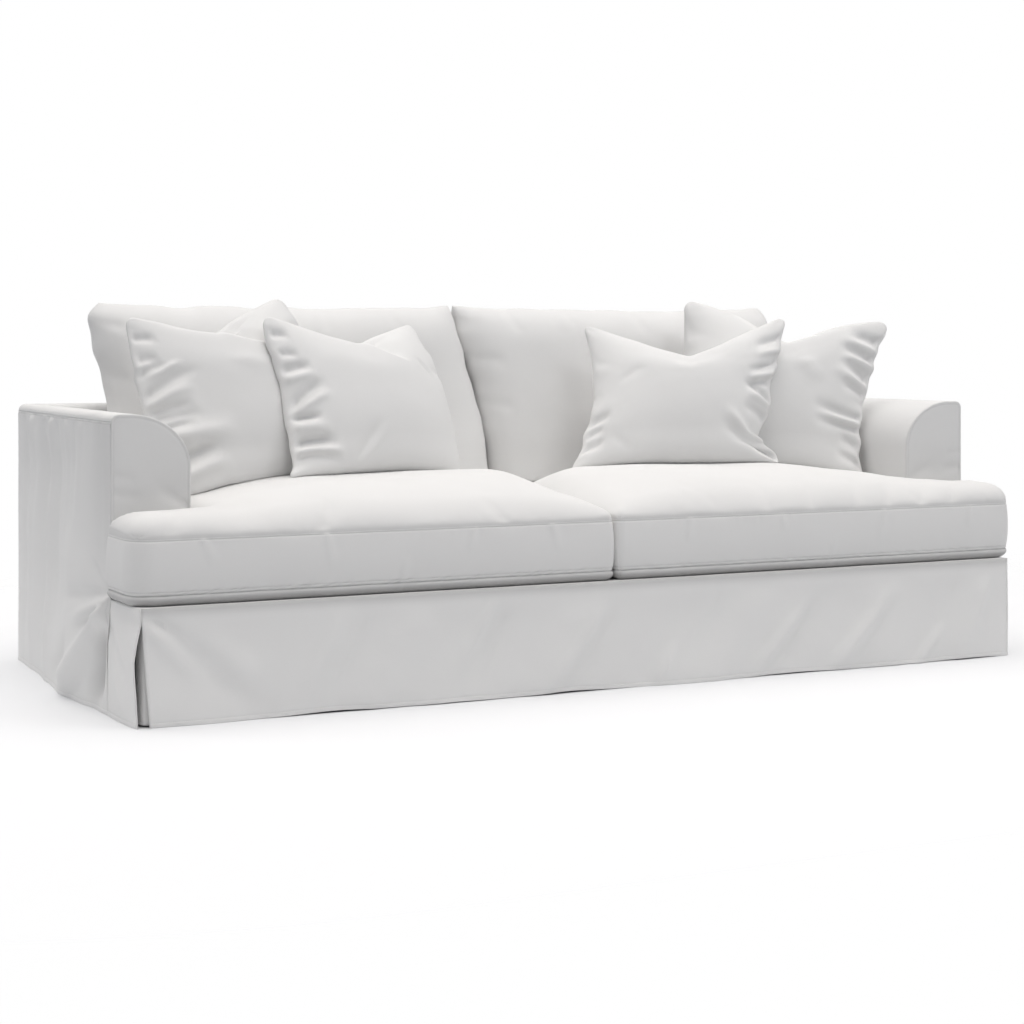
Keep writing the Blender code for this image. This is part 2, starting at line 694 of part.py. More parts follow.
def filled_cover(front, back):
    """Points and faces of a filled cover, from a front and a back grid that share their rim."""
    rows, columns = front.shape[:2]
    number = np.arange(rows * columns).reshape(rows, columns)
    behind = number.copy()
    inner = (rows - 2) * (columns - 2)
    behind[1:-1, 1:-1] = rows * columns + np.arange(inner).reshape(rows - 2, columns - 2)
    points = np.concatenate([front.reshape(-1, 3), back[1:-1, 1:-1].reshape(-1, 3)])
    faces = []
    for r in range(rows - 1):
        for c in range(columns - 1):
            cell = ((r, c), (r, c + 1), (r + 1, c + 1), (r + 1, c))
            faces.append(tuple(int(number[i]) for i in cell))
            faces.append(tuple(int(behind[i]) for i in cell[::-1]))
    return points, faces


def spread(count, crowd=0.55):
    """Places from -1 to 1, closer together towards both ends."""
    t = np.linspace(-1.0, 1.0, count)
    return (1 - crowd) * t + crowd * np.sin(t * math.pi / 2)


def back_cushion(side):
    """Back cushion: a full soft cushion that leans on the inside back and stands on the seat."""
    u = spread(BACK_COLUMNS, 0.95)[None, :]
    v = spread(BACK_ROWS, 0.75)[:, None]
    low = SEAT_PRESSED + REST_GAP
    rise = (v + 1) / 2
    outer = BACK_OUTER + (BACK_EAR - BACK_OUTER) * soft_step((rise - 0.40) / 0.55)
    outer = outer - 0.022 * np.clip((rise - 0.90) / 0.10, 0, 1) ** 2
    lean = np.maximum(BACK_LEAN_FOOT - BACK_LEAN * rise, BACK_LEAN_LEAST)
    inner = BACK_INNER + (lean if side == "right" else -lean)
    x = inner + (outer - inner) * (u + 1) / 2
    z = low + (BACK_TOP - low) * rise - 0.010 * (1 - u**4) * rise**6
    middle = BACK_FOOT_Y + (BACK_HEAD_Y - BACK_FOOT_Y) * rise
    full = np.sqrt((1 - u**10) * (1 - v**8))
    front = middle - (BACK_HALF - 0.028 * rise) * full
    back = middle + (BACK_HALF - 0.018 * rise) * full
    wall = BACK_FACE - REST_GAP + 0.30 * np.maximum(z - TOP - 0.05, 0)
    back = np.minimum(back, wall)
    flat_foot = (z - low) * 0.6 * soft_step((0.30 - rise) / 0.30) * full
    grid_front = np.stack(np.broadcast_arrays(x, front, z - flat_foot), axis=-1)
    grid_back = np.stack(np.broadcast_arrays(x, back, z - flat_foot), axis=-1)
    if side == "left":
        grid_front, grid_back = mirrored(grid_front), mirrored(grid_back)
    return add_object("back_cushion_" + side, *filled_cover(grid_front, grid_back))


def tree_of(names):
    """A search tree of these nodes' surfaces."""
    points, faces = [], []
    graph = bpy.context.evaluated_depsgraph_get()
    for name in names:
        mesh = bpy.data.objects[name].evaluated_get(graph).to_mesh()
        start = len(points)
        points += [v.co.copy() for v in mesh.vertices]
        faces += [tuple(start + i for i in p.vertices) for p in mesh.polygons]
        bpy.data.objects[name].evaluated_get(graph).to_mesh_clear()
    return BVHTree.FromPolygons(points, faces)


def surface_along(tree, point, direction, reach=0.6):
    """How far the tree's first surface, looked at against direction, stands out past a point."""
    start = Vector(point) + Vector(direction) * reach
    hit = tree.ray_cast(start, -Vector(direction), 2 * reach)[0]
    return None if hit is None else (hit - Vector(point)).dot(Vector(direction))


def touching_shift(points, faces, tree, direction):
    """How far to move a surface along direction so that it only just touches the tree's surface."""
    low, high = -MOST_SHIFT, MOST_SHIFT
    for _ in range(14):
        middle = (low + high) / 2
        moved = BVHTree.FromPolygons((points + direction * middle).tolist(), faces)
        if moved.overlap(tree):
            low = middle
        else:
            high = middle
    return high


def throw_pillow(pillow):
    """Knife-edged throw pillow, dented in its top, pressed on the seat and on what is behind it."""
    corners = {
        key: place(np.array(getattr(pillow, key)))
        for key in ("top_left", "top_right", "bottom_right", "bottom_left")
    }
    u = spread(PILLOW_CELLS + 1)[None, :, None]
    v = spread(PILLOW_CELLS + 1)[:, None, None]
    left = corners["bottom_left"], corners["top_left"]
    right = corners["bottom_right"], corners["top_right"]
    across = right[0] + right[1] - left[0] - left[1]
    upward = left[1] + right[1] - left[0] - right[0]
    facing = np.cross(across, upward)
    facing /= np.linalg.norm(facing)
    along = across / np.linalg.norm(across)
    climb = upward / np.linalg.norm(upward)
    low = left[0] * (1 - u) / 2 + right[0] * (1 + u) / 2
    high = left[1] * (1 - u) / 2 + right[1] * (1 + u) / 2
    flat = low * (1 - v) / 2 + high * (1 + v) / 2
    flat = flat + along * u * pillow.bow * (1 - v**2)
    flat = flat + climb * PILLOW_LIFT * np.maximum(-v, 0) * (1 - u**2)
    dent = np.exp(-(np.abs((u - pillow.dent_at) / DENT_WIDE) ** 1.5))
    dent = dent * soft_step((v + 0.1) / 1.1)
    flat = flat - climb * pillow.dent * dent
    full = np.clip((1 - u**2) * (1 - v**2), 0, 1) ** 0.62
    half = pillow.thickness / 2 * full * (1 + 0.25 * dent - 0.12 * v)
    front = flat + facing * half
    back = flat - facing * half
    leaning = tree_of(pillow.behind)
    seat = tree_of(("seat_cushion_" + ("left" if "left" in pillow.name else "right"),))
    up = np.array([0.0, 0.0, 1.0])
    rows, columns = front.shape[:2]
    for _ in range(2):
        for r in range(rows):
            for c in range(columns):
                pressed = surface_along(leaning, back[r, c], facing)
                if pressed is not None and pressed > -PRESS_GAP:
                    back[r, c] += facing * (pressed + PRESS_GAP)
                least = PILLOW_LEAST * min(1.0, 2 * full[r, c, 0])
                if (front[r, c] - back[r, c]) @ facing < least:
                    front[r, c] = back[r, c] + facing * least
                for grid in (front, back):
                    pressed = surface_along(seat, grid[r, c], up)
                    if pressed is not None and pressed > -REST_GAP:
                        grid[r, c] += up * (pressed + REST_GAP)
    rim = np.ones((rows, columns), bool)
    rim[1:-1, 1:-1] = False
    front[rim] = back[rim]
    points, faces = filled_cover(front, back)
    for tree, direction in ((leaning, facing), (seat, up)):
        shift = touching_shift(points, faces, tree, direction) + REST_GAP
        points = points + direction * shift
    return add_object(pillow.name, points + np.array([0.0, DEPTH / 2, 0.0]), faces)


def build():
    """Make every node of the cover."""
    clear_scene()
    for side in ("left", "right"):
        outside_arm(side)
        arm_cover(side)
        arm_front(side)
        skirt_corner(side)
        corner_pleat(side)
        seat_cushion(side)
        back_cushion(side)
    outside_back()
    inside_back()
    seat_deck()
    front_skirt()
    bpy.context.view_layer.update()
    for pillow in PILLOWS:
        throw_pillow(pillow)
        bpy.context.view_layer.update()


build()
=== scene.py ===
"""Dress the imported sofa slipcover: cloth panels, filled covers, seams, stitching and a studio.

Metres, +Z up, the front faces -Y and the origin is on the floor under the middle of the whole.
Inside the classes y is the depth, measured backwards from the front skirt, and x is measured
outwards from the middle on the right-hand side. place() moves the depth to the origin and
mirror() makes the left.
"""

import logging
import math
from collections.abc import Sequence
from dataclasses import dataclass
from enum import Enum
from typing import NamedTuple

import bpy
import numpy as np
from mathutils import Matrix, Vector
from mathutils.bvhtree import BVHTree

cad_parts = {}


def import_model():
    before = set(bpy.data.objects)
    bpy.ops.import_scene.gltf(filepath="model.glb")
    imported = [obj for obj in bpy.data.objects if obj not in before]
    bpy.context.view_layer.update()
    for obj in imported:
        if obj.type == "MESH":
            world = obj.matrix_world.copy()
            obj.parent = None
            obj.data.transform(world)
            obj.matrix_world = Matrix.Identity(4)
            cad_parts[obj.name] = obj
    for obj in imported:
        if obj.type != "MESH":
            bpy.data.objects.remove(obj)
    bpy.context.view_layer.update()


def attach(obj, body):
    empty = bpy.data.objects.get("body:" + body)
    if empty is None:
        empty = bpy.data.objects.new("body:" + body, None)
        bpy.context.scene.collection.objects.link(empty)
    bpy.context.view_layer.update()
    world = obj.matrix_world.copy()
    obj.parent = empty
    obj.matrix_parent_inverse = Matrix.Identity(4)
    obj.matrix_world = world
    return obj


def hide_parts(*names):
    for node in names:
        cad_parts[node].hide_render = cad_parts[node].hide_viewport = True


LOG = logging.getLogger("slipcover")

# The body of the cover, as in the solids
CLOTH = 0.003
GAP = 0.0003  # between a solid panel and the one that it is sewn to
SEAM_PLAY = 0.0001  # the same between the panels here
REST_GAP = 0.0006  # under a filled cover
DEPTH = 1.110
HALF_FRONT = 1.180  # from the middle to the outside arms' front
HALF_REAR = 1.172  # to their rear
HALF_SKIRT = 1.174  # and to the corner strips' front
ARM_FRONT = 0.202
TOP = 0.664
ROUND = 0.018  # radius of the edges round the top
SEAM = TOP - ROUND
SEWN_TOP = SEAM - SEAM_PLAY  # where the outside panels end
ARM_INSIDE = 0.997
ARCH_WIDE = 0.140  # of the curve from an arm's flat top to its inside
ARCH_HIGH = 0.122
BACK_FACE = 0.970
BACK_SUNK = 0.008  # how far the outside back hangs in between its edges
BACK_TOP_END = 1.130
DECK = 0.2552
SLIT = 0.018  # how wide an open corner slit is at the floor

# Sewing
HEM = 0.010  # from a hem's edge to its stitched line
NEEDLE = 0.0048  # from a seam to the stitched line beside it
SEAM_OFFSETS = (0.0, 0.0012, 0.0024, 0.0036, 0.0048, 0.0060, 0.0075, 0.0095, 0.0125)
DARKEST_DIP = 0.0016  # how deep a sunk place is that gets all of a seam's painted shade
STITCH_PITCH = 0.0046
STITCH_LONG = 0.0034
STITCH_WIDE = 0.0010

MM = 1000.0  # millimetres in a metre
CAST_FROM = 0.6  # from how far off a pillow's rays look for what it rests on
UPWARD = np.array([0.0, 0.0, 1.0])
LEFTWARDS = np.array([-1.0, 1.0, 1.0])  # turns a place on the right into its image on the left
Grid = np.ndarray
Point2 = tuple[float, float]
Point3 = tuple[float, float, float]


class Side(Enum):
    """The sides of the sofa, as seen from its front."""

    LEFT = "left"
    RIGHT = "right"

    def seed(self, first: int, apart: int = 1) -> int:
        """The seed of a piece's random folds: first on the left, another on the right."""
        return first if self is Side.LEFT else first + apart


class Held(Enum):
    STRETCHED = "stretched"
    HUNG = "hung"


# ------------------------------------------------------------------------------
# Numbers


def soft_step(value: Grid) -> Grid:
    """Go smoothly from 0 to 1 as value does."""
    t = np.clip(value, 0.0, 1.0)
    return t * t * (3 - 2 * t)


def swelling(distance: Grid, reach: float, power: float = 2.6) -> Grid:
    """Rise from 0 at an edge to 1 at reach from it, steeply at first."""
    return 1 - (1 - np.clip(distance / reach, 0.0, 1.0)) ** power


def bump(distance: Grid, width: float) -> Grid:
    """A soft hump of height 1 that is width wide to each side."""
    return np.exp(-((distance / width) ** 2))


def wander(along: Grid, pitch: float, seed: int) -> Grid:
    """A smooth random curve from -1 to 1.

    Args:
        along: places along the curve, in metres.
        pitch: distance between its random knots.
        seed: which curve.

    Returns:
        The curve's height at each place.
    """
    count = 4096
    place_in = np.asarray(along, float) / pitch + 1000.0
    low = np.floor(place_in).astype(int)
    knots = np.random.default_rng(seed).uniform(-1.0, 1.0, count)
    share = soft_step(place_in - low)
    return knots[low % count] * (1 - share) + knots[(low + 1) % count] * share


def lumps(x: Grid, y: Grid, pitch: float, seed: int) -> Grid:
    """A smooth random surface from -1 to 1.

    Args:
        x: places along it.
        y: places across it.
        pitch: distance between its random knots.
        seed: which surface.

    Returns:
        The surface's height at each place.
    """
    count = 128
    x, y = np.broadcast_arrays(np.asarray(x, float) / pitch, np.asarray(y, float) / pitch)
    x, y = x + count // 2, y + count // 2
    knots = np.random.default_rng(seed).uniform(-1.0, 1.0, (count, count))
    low_x, low_y = np.floor(x).astype(int), np.floor(y).astype(int)
    sx, sy = soft_step(x - low_x), soft_step(y - low_y)
    left, right = low_x % count, (low_x + 1) % count
    front, rear = low_y % count, (low_y + 1) % count
    near = knots[left, front] * (1 - sx) + knots[right, front] * sx
    far = knots[left, rear] * (1 - sx) + knots[right, rear] * sx
    return near * (1 - sy) + far * sy


def run_along(path: Grid) -> Grid:
    """How far along a line of points each of them is."""
    return np.concatenate([[0.0], np.cumsum(np.linalg.norm(np.diff(path, axis=0), axis=-1))])


def smoothed(line: Grid, rounds: int) -> Grid:
    """A line of values, each blended with its neighbours this many times, the ends kept.

    Args:
        line: the values.
        rounds: how many times.

    Returns:
        The smoother line.
    """
    line = line.copy()
    for _ in range(rounds):
        line[1:-1] = (line[:-2] + 2 * line[1:-1] + line[2:]) / 4
    return line


def points_of(x: Grid, y: Grid, z: Grid) -> Grid:
    """Points with these coordinates, each of them a grid, a row, a column or one number."""
    return np.stack(np.broadcast_arrays(x, y, z), axis=-1)


def stations(low: float, high: float, step: float, seams: Sequence[float] = ()) -> Grid:
    """Places from low to high, step apart and closer round the seams.

    Args:
        low: the first place.
        high: the last place.
        step: the usual distance between two.
        seams: places that get closer neighbours on both sides.

    Returns:
        The places in order.
    """
    count = max(2, round((high - low) / step) + 1)
    found = [low, high]
    near = SEAM_OFFSETS[-1] + step / 3
    for value in np.linspace(low, high, count):
        if all(abs(value - seam) > near for seam in seams):
            found.append(value)
    for seam in seams:
        for offset in SEAM_OFFSETS:
            found += [seam - offset, seam + offset]
    inside = sorted(value for value in found if low - 1e-9 <= value <= high + 1e-9)
    kept = [inside[0]]
    for value in inside[1:]:
        if value - kept[-1] > 0.0005:
            kept.append(value)
    kept[-1] = high
    return np.array(kept)


class Crease(NamedTuple):
    """A soft ridge of a panel, or a trough if its height is under 0, in the panel's own metres."""

    start: Point2
    end: Point2
    width: float
    height: float
    widen: float = 1.0  # its width at the end, as a share of that at the start
    bend: float = 0.0  # how far its middle bows out to its left
    rooted: bool = False  # at full height where it starts, as at a seam


def creases(*rows: tuple[float, ...]) -> tuple[Crease, ...]:
    """Creases from rows in millimetres.

    Args:
        rows: where one starts and ends, its width and height, then widen, bend and rooted.

    Returns:
        The creases in metres.
    """
    found = []
    for x, y, to_x, to_y, width, height, widen, *rest in rows:
        bend, rooted = (*rest, 0.0, 0.0)[:2]
        start, end = (x / MM, y / MM), (to_x / MM, to_y / MM)
        crease = Crease(start, end, width / MM, height / MM, widen, bend / MM, rooted > 0)
        found.append(crease)
    return tuple(found)


def relief(ridges: Sequence[Crease], along: Grid, up: Grid) -> Grid:
    """How far the creases lift a panel.

    Args:
        ridges: the creases.
        along: places along the panel.
        up: places up the panel.

    Returns:
        The height over the plain panel at each place.
    """
    along, up = np.broadcast_arrays(along, up)
    total = np.zeros(along.shape)
    for crease in ridges:
        run = np.array(crease.end) - np.array(crease.start)
        length = float(np.hypot(*run))
        ahead = run / length
        a, b = along - crease.start[0], up - crease.start[1]
        share = (a * ahead[0] + b * ahead[1]) / length
        off = b * ahead[0] - a * ahead[1] - crease.bend * 4 * share * (1 - share)
        width = crease.width * (1 + (crease.widen - 1) * np.clip(share, 0, 1))
        rise = np.ones_like(share) if crease.rooted else soft_step((share + 0.12) / 0.40)
        fall = 1 - soft_step((share - 0.55) / 0.50)
        total = total + crease.height * rise * fall * np.exp(-((off / width) ** 2))
    return total


def puckers(
    along: Grid, away: Grid, seed: int, pitch: float, reach: float, slant: float = 0.0
) -> Grid:
    """Small folds that a sewn seam draws into the cloth beside it, from -1 to 1.

    Args:
        along: places along the seam.
        away: distance from the seam.
        seed: which folds.
        pitch: their width.
        reach: how far they run from the seam.
        slant: how far they lean along the seam, per metre away from it.

    Returns:
        Their height at each place, nothing at the seam itself.
    """
    fold = wander(along + slant * away, pitch, seed)
    fold = fold + 0.5 * wander(along - slant * away, pitch * 0.6, seed + 1)
    long = reach * (0.65 + 0.5 * wander(along, pitch * 2.3, seed + 2))
    return fold / 1.5 * soft_step(away / 0.005) * np.exp(-((away / long) ** 2))


def hem_dip(up: Grid) -> Grid:
    """The doubled cloth of a hem and the dip of its stitched line, at a height over its edge."""
    return 0.0007 * (1 - soft_step((up - HEM) / 0.002)) - 0.0010 * bump(up - HEM, 0.0014)


def seam_dips(away: Grid, groove: Point2, line: Point2, needle: float = NEEDLE) -> Grid:
    """A seam's groove and the dip of the stitched line beside it.

    Args:
        away: distance from the seam.
        groove: how deep and how wide the groove is.
        line: how deep and how wide the line's dip is.
        needle: from the seam to the line.

    Returns:
        The height of both at each place, under 0.
    """
    return -groove[0] * bump(away, groove[1]) - line[0] * bump(away - needle, line[1])


# ------------------------------------------------------------------------------
# Meshes


def place(points: Grid) -> Grid:
    """Move points from the depth behind the skirt to the origin under the middle."""
    return np.asarray(points, float) - np.array([0.0, DEPTH / 2, 0.0])


def mirror(grid: Grid) -> Grid:
    """Mirror a grid of points to the left side, its columns turned so that it still faces out."""
    return (grid * LEFTWARDS)[:, ::-1]


def grid_faces(rows: int, columns: int, keep: Grid | None = None) -> list[tuple[int, ...]]:
    """Quads of a grid whose points are numbered row by row.

    Args:
        rows: how many rows of points.
        columns: how many in each.
        keep: which cells stay, or None for all.

    Returns:
        Four point numbers for each cell that stays.
    """
    return [
        (r * columns + c, r * columns + c + 1, (r + 1) * columns + c + 1, (r + 1) * columns + c)
        for r in range(rows - 1)
        for c in range(columns - 1)
        if keep is None or keep[r][c]
    ]


def grid_normals(grid: Grid) -> Grid:
    """Unit normals of a grid of points, out of the face that it is seen from.

    Args:
        grid: rows of points.

    Returns:
        A normal for each point.
    """
    across = np.gradient(grid, axis=1)
    up = np.gradient(grid, axis=0)
    normals = np.cross(across, up)
    lengths = np.linalg.norm(normals, axis=-1, keepdims=True)
    return normals / np.maximum(lengths, 1e-12)


def raised(grid: Grid, height: Grid) -> Grid:
    """Move a grid's points out along its normals by height."""
    return grid + grid_normals(grid) * height[..., None]


def texture_places(grid: Grid) -> Grid:
    """Distances in metres along a grid's rows and up its columns, for its texture coordinates.

    Args:
        grid: rows of points.

    Returns:
        Both distances for each point.
    """
    across = np.linalg.norm(np.diff(grid, axis=1), axis=-1)
    upward = np.linalg.norm(np.diff(grid, axis=0), axis=-1)
    u = np.concatenate([[0.0], np.cumsum(across.mean(axis=0))])
    v = np.concatenate([[0.0], np.cumsum(upward.mean(axis=1))])
    return np.stack(np.broadcast_arrays(u[None, :], v[:, None]), axis=-1)


def deselect_all() -> None:
    """Leave nothing selected."""
    for obj in bpy.context.selected_objects:
        obj.select_set(False)


def make_active(obj: bpy.types.Object) -> None:
    """Select this object alone.

    Args:
        obj: the object.
    """
    deselect_all()
    obj.select_set(True)
    bpy.context.view_layer.objects.active = obj


def apply_modifiers(obj: bpy.types.Object) -> None:
    """Apply all of an object's modifiers in order.

    Args:
        obj: the object, which is selected for it.
    """
    make_active(obj)
    for modifier in list(obj.modifiers):
        bpy.ops.object.modifier_apply(modifier=modifier.name)
    deselect_all()


class Layer(NamedTuple):
    """What a mesh keeps: texture places in metres, by point or by face corner, and painted shade.
    """

    places: Grid
    shade: Grid
    by_corner: bool = False


def add_mesh(
    name: str, points: Grid, faces: Sequence[tuple[int, ...]], layer: Layer | None = None
) -> bpy.types.Object:
    """Make an object from points and faces.

    Args:
        name: the piece's name.
        points: its points, with y as the depth behind the skirt.
        faces: point numbers of each face.
        layer: texture places and painted shade kept at the points.

    Returns:
        The new object, smooth, at the origin.
    """
    used = np.unique(np.concatenate([np.asarray(face) for face in faces]))
    order = np.zeros(len(points), int)
    order[used] = np.arange(len(used))
    mesh = bpy.data.meshes.new(name)
    numbered = [tuple(order[list(face)].tolist()) for face in faces]
    mesh.from_pydata(place(points)[used].tolist(), [], numbered)
    mesh.shade_smooth()
    if layer is not None:
        corner = np.zeros(len(mesh.loops), np.int32)
        mesh.loops.foreach_get("vertex_index", corner)
        uv = layer.places if layer.by_corner else layer.places.reshape(-1, 2)[used][corner]
        mesh.uv_layers.new(name="cloth").uv.foreach_set("vector", uv.astype(np.float32).ravel())
        # The layer's painted shade is kept as a point attribute that the cloth's material reads.
        shade = mesh.attributes.new("painted_shade", "FLOAT", "POINT")
        shade.data.foreach_set("value", np.ravel(layer.shade)[used].astype(np.float32))
    obj = bpy.data.objects.new(name, mesh)
    bpy.context.scene.collection.objects.link(obj)
    return obj


@dataclass
class Panel:
    """A cloth panel: the grid of points on its outer face, and the shade painted on it."""

    name: str
    grid: Grid
    shade: Grid
    keep: Grid | None = None

    def build(self, side: Side = Side.RIGHT) -> bpy.types.Object:
        """Make the panel's mesh, as thick as the cloth, for this side of the sofa.

        Args:
            side: the side that it goes to.

        Returns:
            The object.
        """
        places = texture_places(self.grid)
        if side is Side.LEFT:
            self.grid, self.shade = mirror(self.grid), self.shade[:, ::-1]
            self.keep = None if self.keep is None else self.keep[:, ::-1]
        rows, columns = self.grid.shape[:2]
        faces = grid_faces(rows, columns, self.keep)
        layer = Layer(places, self.shade)
        obj = add_mesh(self.name + "_panel", self.grid.reshape(-1, 3), faces, layer)
        thick = obj.modifiers.new("cloth", "SOLIDIFY")
        thick.thickness = CLOTH
        thick.offset = -1.0
        thick.use_even_offset = False
        apply_modifiers(obj)
        return obj

    def row(self, index: int, first: int = 0, last: int | None = None) -> tuple[Grid, Grid]:
        """Points and normals along one of the grid's rows, for a stitched line."""
        normals = grid_normals(self.grid)
        return self.grid[index, first:last], normals[index, first:last]

    def column(self, index: int, first: int = 0, last: int | None = None) -> tuple[Grid, Grid]:
        """Points and normals along one of the grid's columns, for a stitched line."""
        normals = grid_normals(self.grid)
        return self.grid[first:last, index], normals[first:last, index]


def line_of(grid: Grid, cells: Sequence[tuple[int, int]]) -> tuple[Grid, Grid]:
    """Points and normals at these rows and columns of a grid, for a stitched line."""
    rows, columns = zip(*cells)
    return grid[rows, columns], grid_normals(grid)[rows, columns]


def nearest(values: Grid, wanted: float) -> int:
    """The number of the value that is nearest to the wanted one."""
    return int(np.argmin(np.abs(np.asarray(values) - wanted)))


@dataclass
class Stitching:
    """The stitches of one part of the cover, gathered into a single piece."""

    name: str

    def __post_init__(self) -> None:
        """Start with no stitches."""
        self.points: list[Grid] = []

    def add(self, line: tuple[Grid, Grid]) -> None:
        """Sew a row of stitches along a line of points, given with the cloth's normals there.

        Args:
            line: the line's points and the cloth's normals there.
        """
        path, normals = line
        reach = run_along(path)
        count = int(reach[-1] / STITCH_PITCH)
        if count < 2:
            return
        middle = (np.arange(count) + 0.5) * reach[-1] / count
        ends = []
        for at in (middle - STITCH_LONG / 2, middle, middle + STITCH_LONG / 2):
            ends.append(np.stack([np.interp(at, reach, path[:, k]) for k in range(3)], axis=-1))
        normal = np.stack([np.interp(middle, reach, normals[:, k]) for k in range(3)], axis=-1)
        normal /= np.linalg.norm(normal, axis=1)[:, None]
        ahead = ends[2] - ends[0]
        ahead /= np.maximum(np.linalg.norm(ahead, axis=1), 1e-9)[:, None]
        beside = np.cross(normal, ahead) * STITCH_WIDE / 2
        lifted = ends[1] + normal * STITCH_WIDE * 0.45
        sunk = ends[1] - normal * STITCH_WIDE * 0.5
        low = -normal * STITCH_WIDE * 0.35
        spindle = [ends[0] + low, ends[2] + low, lifted, ends[1] + beside, sunk, ends[1] - beside]
        self.points.append(np.stack(spindle, axis=1))

    def build(self, side: Side = Side.RIGHT) -> bpy.types.Object:
        """Make one mesh of all the stitches, on this side of the sofa.

        Args:
            side: the side that they go to.

        Returns:
            The object.
        """
        all_points = np.concatenate(self.points)
        flip = side is Side.LEFT
        if flip:
            all_points = all_points * LEFTWARDS
        faces = []
        ring = (2, 3, 4, 5)
        for number in range(len(all_points)):
            base = number * 6
            for i in range(4):
                a, b = base + ring[i], base + ring[(i + 1) % 4]
                one, two = (base, b, a), (base + 1, a, b)
                faces += [one[::-1], two[::-1]] if flip else [one, two]
        return add_mesh(self.name, all_points.reshape(-1, 3), faces)


# ------------------------------------------------------------------------------
# Materials


COORD_UV, COORD_OBJECT = 2, 3  # which output of a Texture Coordinate node gives these


class Value:
    """A number that varies over a surface, with Python's operators for a material's Math nodes."""

    def __init__(self, graph: "Graph", socket: bpy.types.NodeSocket) -> None:
        """Wrap the output socket that gives the number."""
        self.graph = graph
        self.socket = socket

    def _math(self, operation: str, first: object, second: object) -> "Value":
        """Add a Math node.

        Args:
            operation: the node's operation.
            first: its first input, a number or another value.
            second: its second input.

        Returns:
            The node's result.
        """
        return self.graph.add("Math", {0: first, 1: second}, operation=operation)

    def __add__(self, other: object) -> "Value":
        """Add a number or another value."""
        return self._math("ADD", self, other)

    __radd__ = __add__

    def __mul__(self, other: object) -> "Value":
        """Multiply by a number or another value."""
        return self._math("MULTIPLY", self, other)

    __rmul__ = __mul__

    def __sub__(self, other: object) -> "Value":
        """Take away a number or another value."""
        return self._math("SUBTRACT", self, other)

    def __rsub__(self, other: object) -> "Value":
        """Take this away from a number or another value."""
        return self._math("SUBTRACT", other, self)

    def __pow__(self, other: object) -> "Value":
        """Raise to a power."""
        return self._math("POWER", self, other)

    def sine(self) -> "Value":
        """The sine of the value."""
        return self._math("SINE", self, 0.0)


class Graph:
    """The nodes of one material, or of the world."""

    def __init__(self, owner: bpy.types.Material | bpy.types.World) -> None:
        """Take over the owner's node tree.

        Args:
            owner: the material, or the world.
        """
        owner.use_nodes = True
        self.tree = owner.node_tree
        self.shader = self.tree.nodes.get("Principled BSDF")

    def add(
        self, kind: str, inputs: dict[object, object] | None = None, out: int = 0, **settings: str
    ) -> Value:
        """Add a node.

        Args:
            kind: the node's type, without ShaderNode.
            inputs: numbers, colours or values for its input sockets, by name or number.
            out: which of its outputs is wanted.
            **settings: its own settings, made before its sockets are read.

        Returns:
            That output.
        """
        node = self.tree.nodes.new("ShaderNode" + kind)
        for name, setting in settings.items():
            setattr(node, name, setting)
        for key, value in (inputs or {}).items():
            self.put(node.inputs[key], value)
        return Value(self, node.outputs[out])

    def vector(self, operation: str, inputs: dict[object, object], out: int = 0) -> Value:
        """Add a Vector Math node."""
        return self.add("VectorMath", inputs, out, operation=operation)

    def noise(self, where: Value, scale: float, detail: float) -> Value:
        """Add a Noise Texture node."""
        return self.add("TexNoise", {"Vector": where, "Scale": scale, "Detail": detail})

    def split(self, where: Value) -> list[Value]:
        """Take a vector apart.

        Args:
            where: the vector.

        Returns:
            Its three numbers.
        """
        parts = self.tree.nodes.new("ShaderNodeSeparateXYZ")
        self.put(parts.inputs[0], where)
        return [Value(self, socket) for socket in parts.outputs]

    def put(self, socket: bpy.types.NodeSocket, value: object) -> None:
        """Give an input socket a number, a colour or another node's value."""
        if isinstance(value, Value):
            self.tree.links.new(value.socket, socket)
        else:
            socket.default_value = value


@dataclass(frozen=True)
class ClothFinish:
    """Washed off-white cotton twill, seen as a fine diagonal rib close up."""

    name: str
    slot: str
    colour: tuple[float, float, float] = (0.800, 0.796, 0.788)
    roughness: float = 0.88
    rib: float = 0.0011  # from one rib of the twill to the next
    rib_depth: float = 0.00012
    uneven: float = 0.014  # share by which the colour wanders
    painted_shade_strength: float = 0.15  # how much darker painted shade of 1 makes the cloth, as in a seam's groove

    def make(self) -> bpy.types.Material:
        """Make the cloth's material."""
        material = bpy.data.materials.new(self.name)
        graph = Graph(material)
        shader = graph.shader
        where = graph.add("TexCoord", out=COORD_UV)
        across, along, _ = graph.split(where)
        turn = 2 * math.pi / self.rib
        rib = ((across * 0.83 + along * 0.56) * turn).sine()
        yarn = ((across * 0.56 - along * 0.83) * (turn * 1.6)).sine()
        slub = graph.noise(where, 260.0, 2.0)
        height = rib * 0.30 + yarn * 0.12 + slub * 0.9
        relief_in = {"Strength": 0.55, "Distance": self.rib_depth * 2.2, "Height": height}
        broad = graph.noise(where, 3.1, 3.0)
        # Painted shade: an attribute kept at each piece's points darkens the cloth in its seams'
        # grooves, under its rolls and in its shaded hollows.
        painted_shade = graph.add("Attribute", out=2, attribute_name="painted_shade")
        tone_and_painted_shade = 1.0 + (broad - 0.5) * (2 * self.uneven) - painted_shade * self.painted_shade_strength
        tone_and_painted_shade = tone_and_painted_shade + (slub - 0.5) * 0.030
        pale = graph.vector("SCALE", {0: self.colour, "Scale": tone_and_painted_shade})
        graph.put(shader.inputs["Base Color"], pale)
        graph.put(shader.inputs["Normal"], graph.add("Bump", relief_in))
        graph.put(shader.inputs["Roughness"], self.roughness + (slub - 0.5) * 0.08)
        shader.inputs["Sheen Weight"].default_value = 0.08
        shader.inputs["Sheen Roughness"].default_value = 0.5
        shader.inputs["Specular IOR Level"].default_value = 0.25
        material.diffuse_color = (*self.colour, 1.0)
        return material


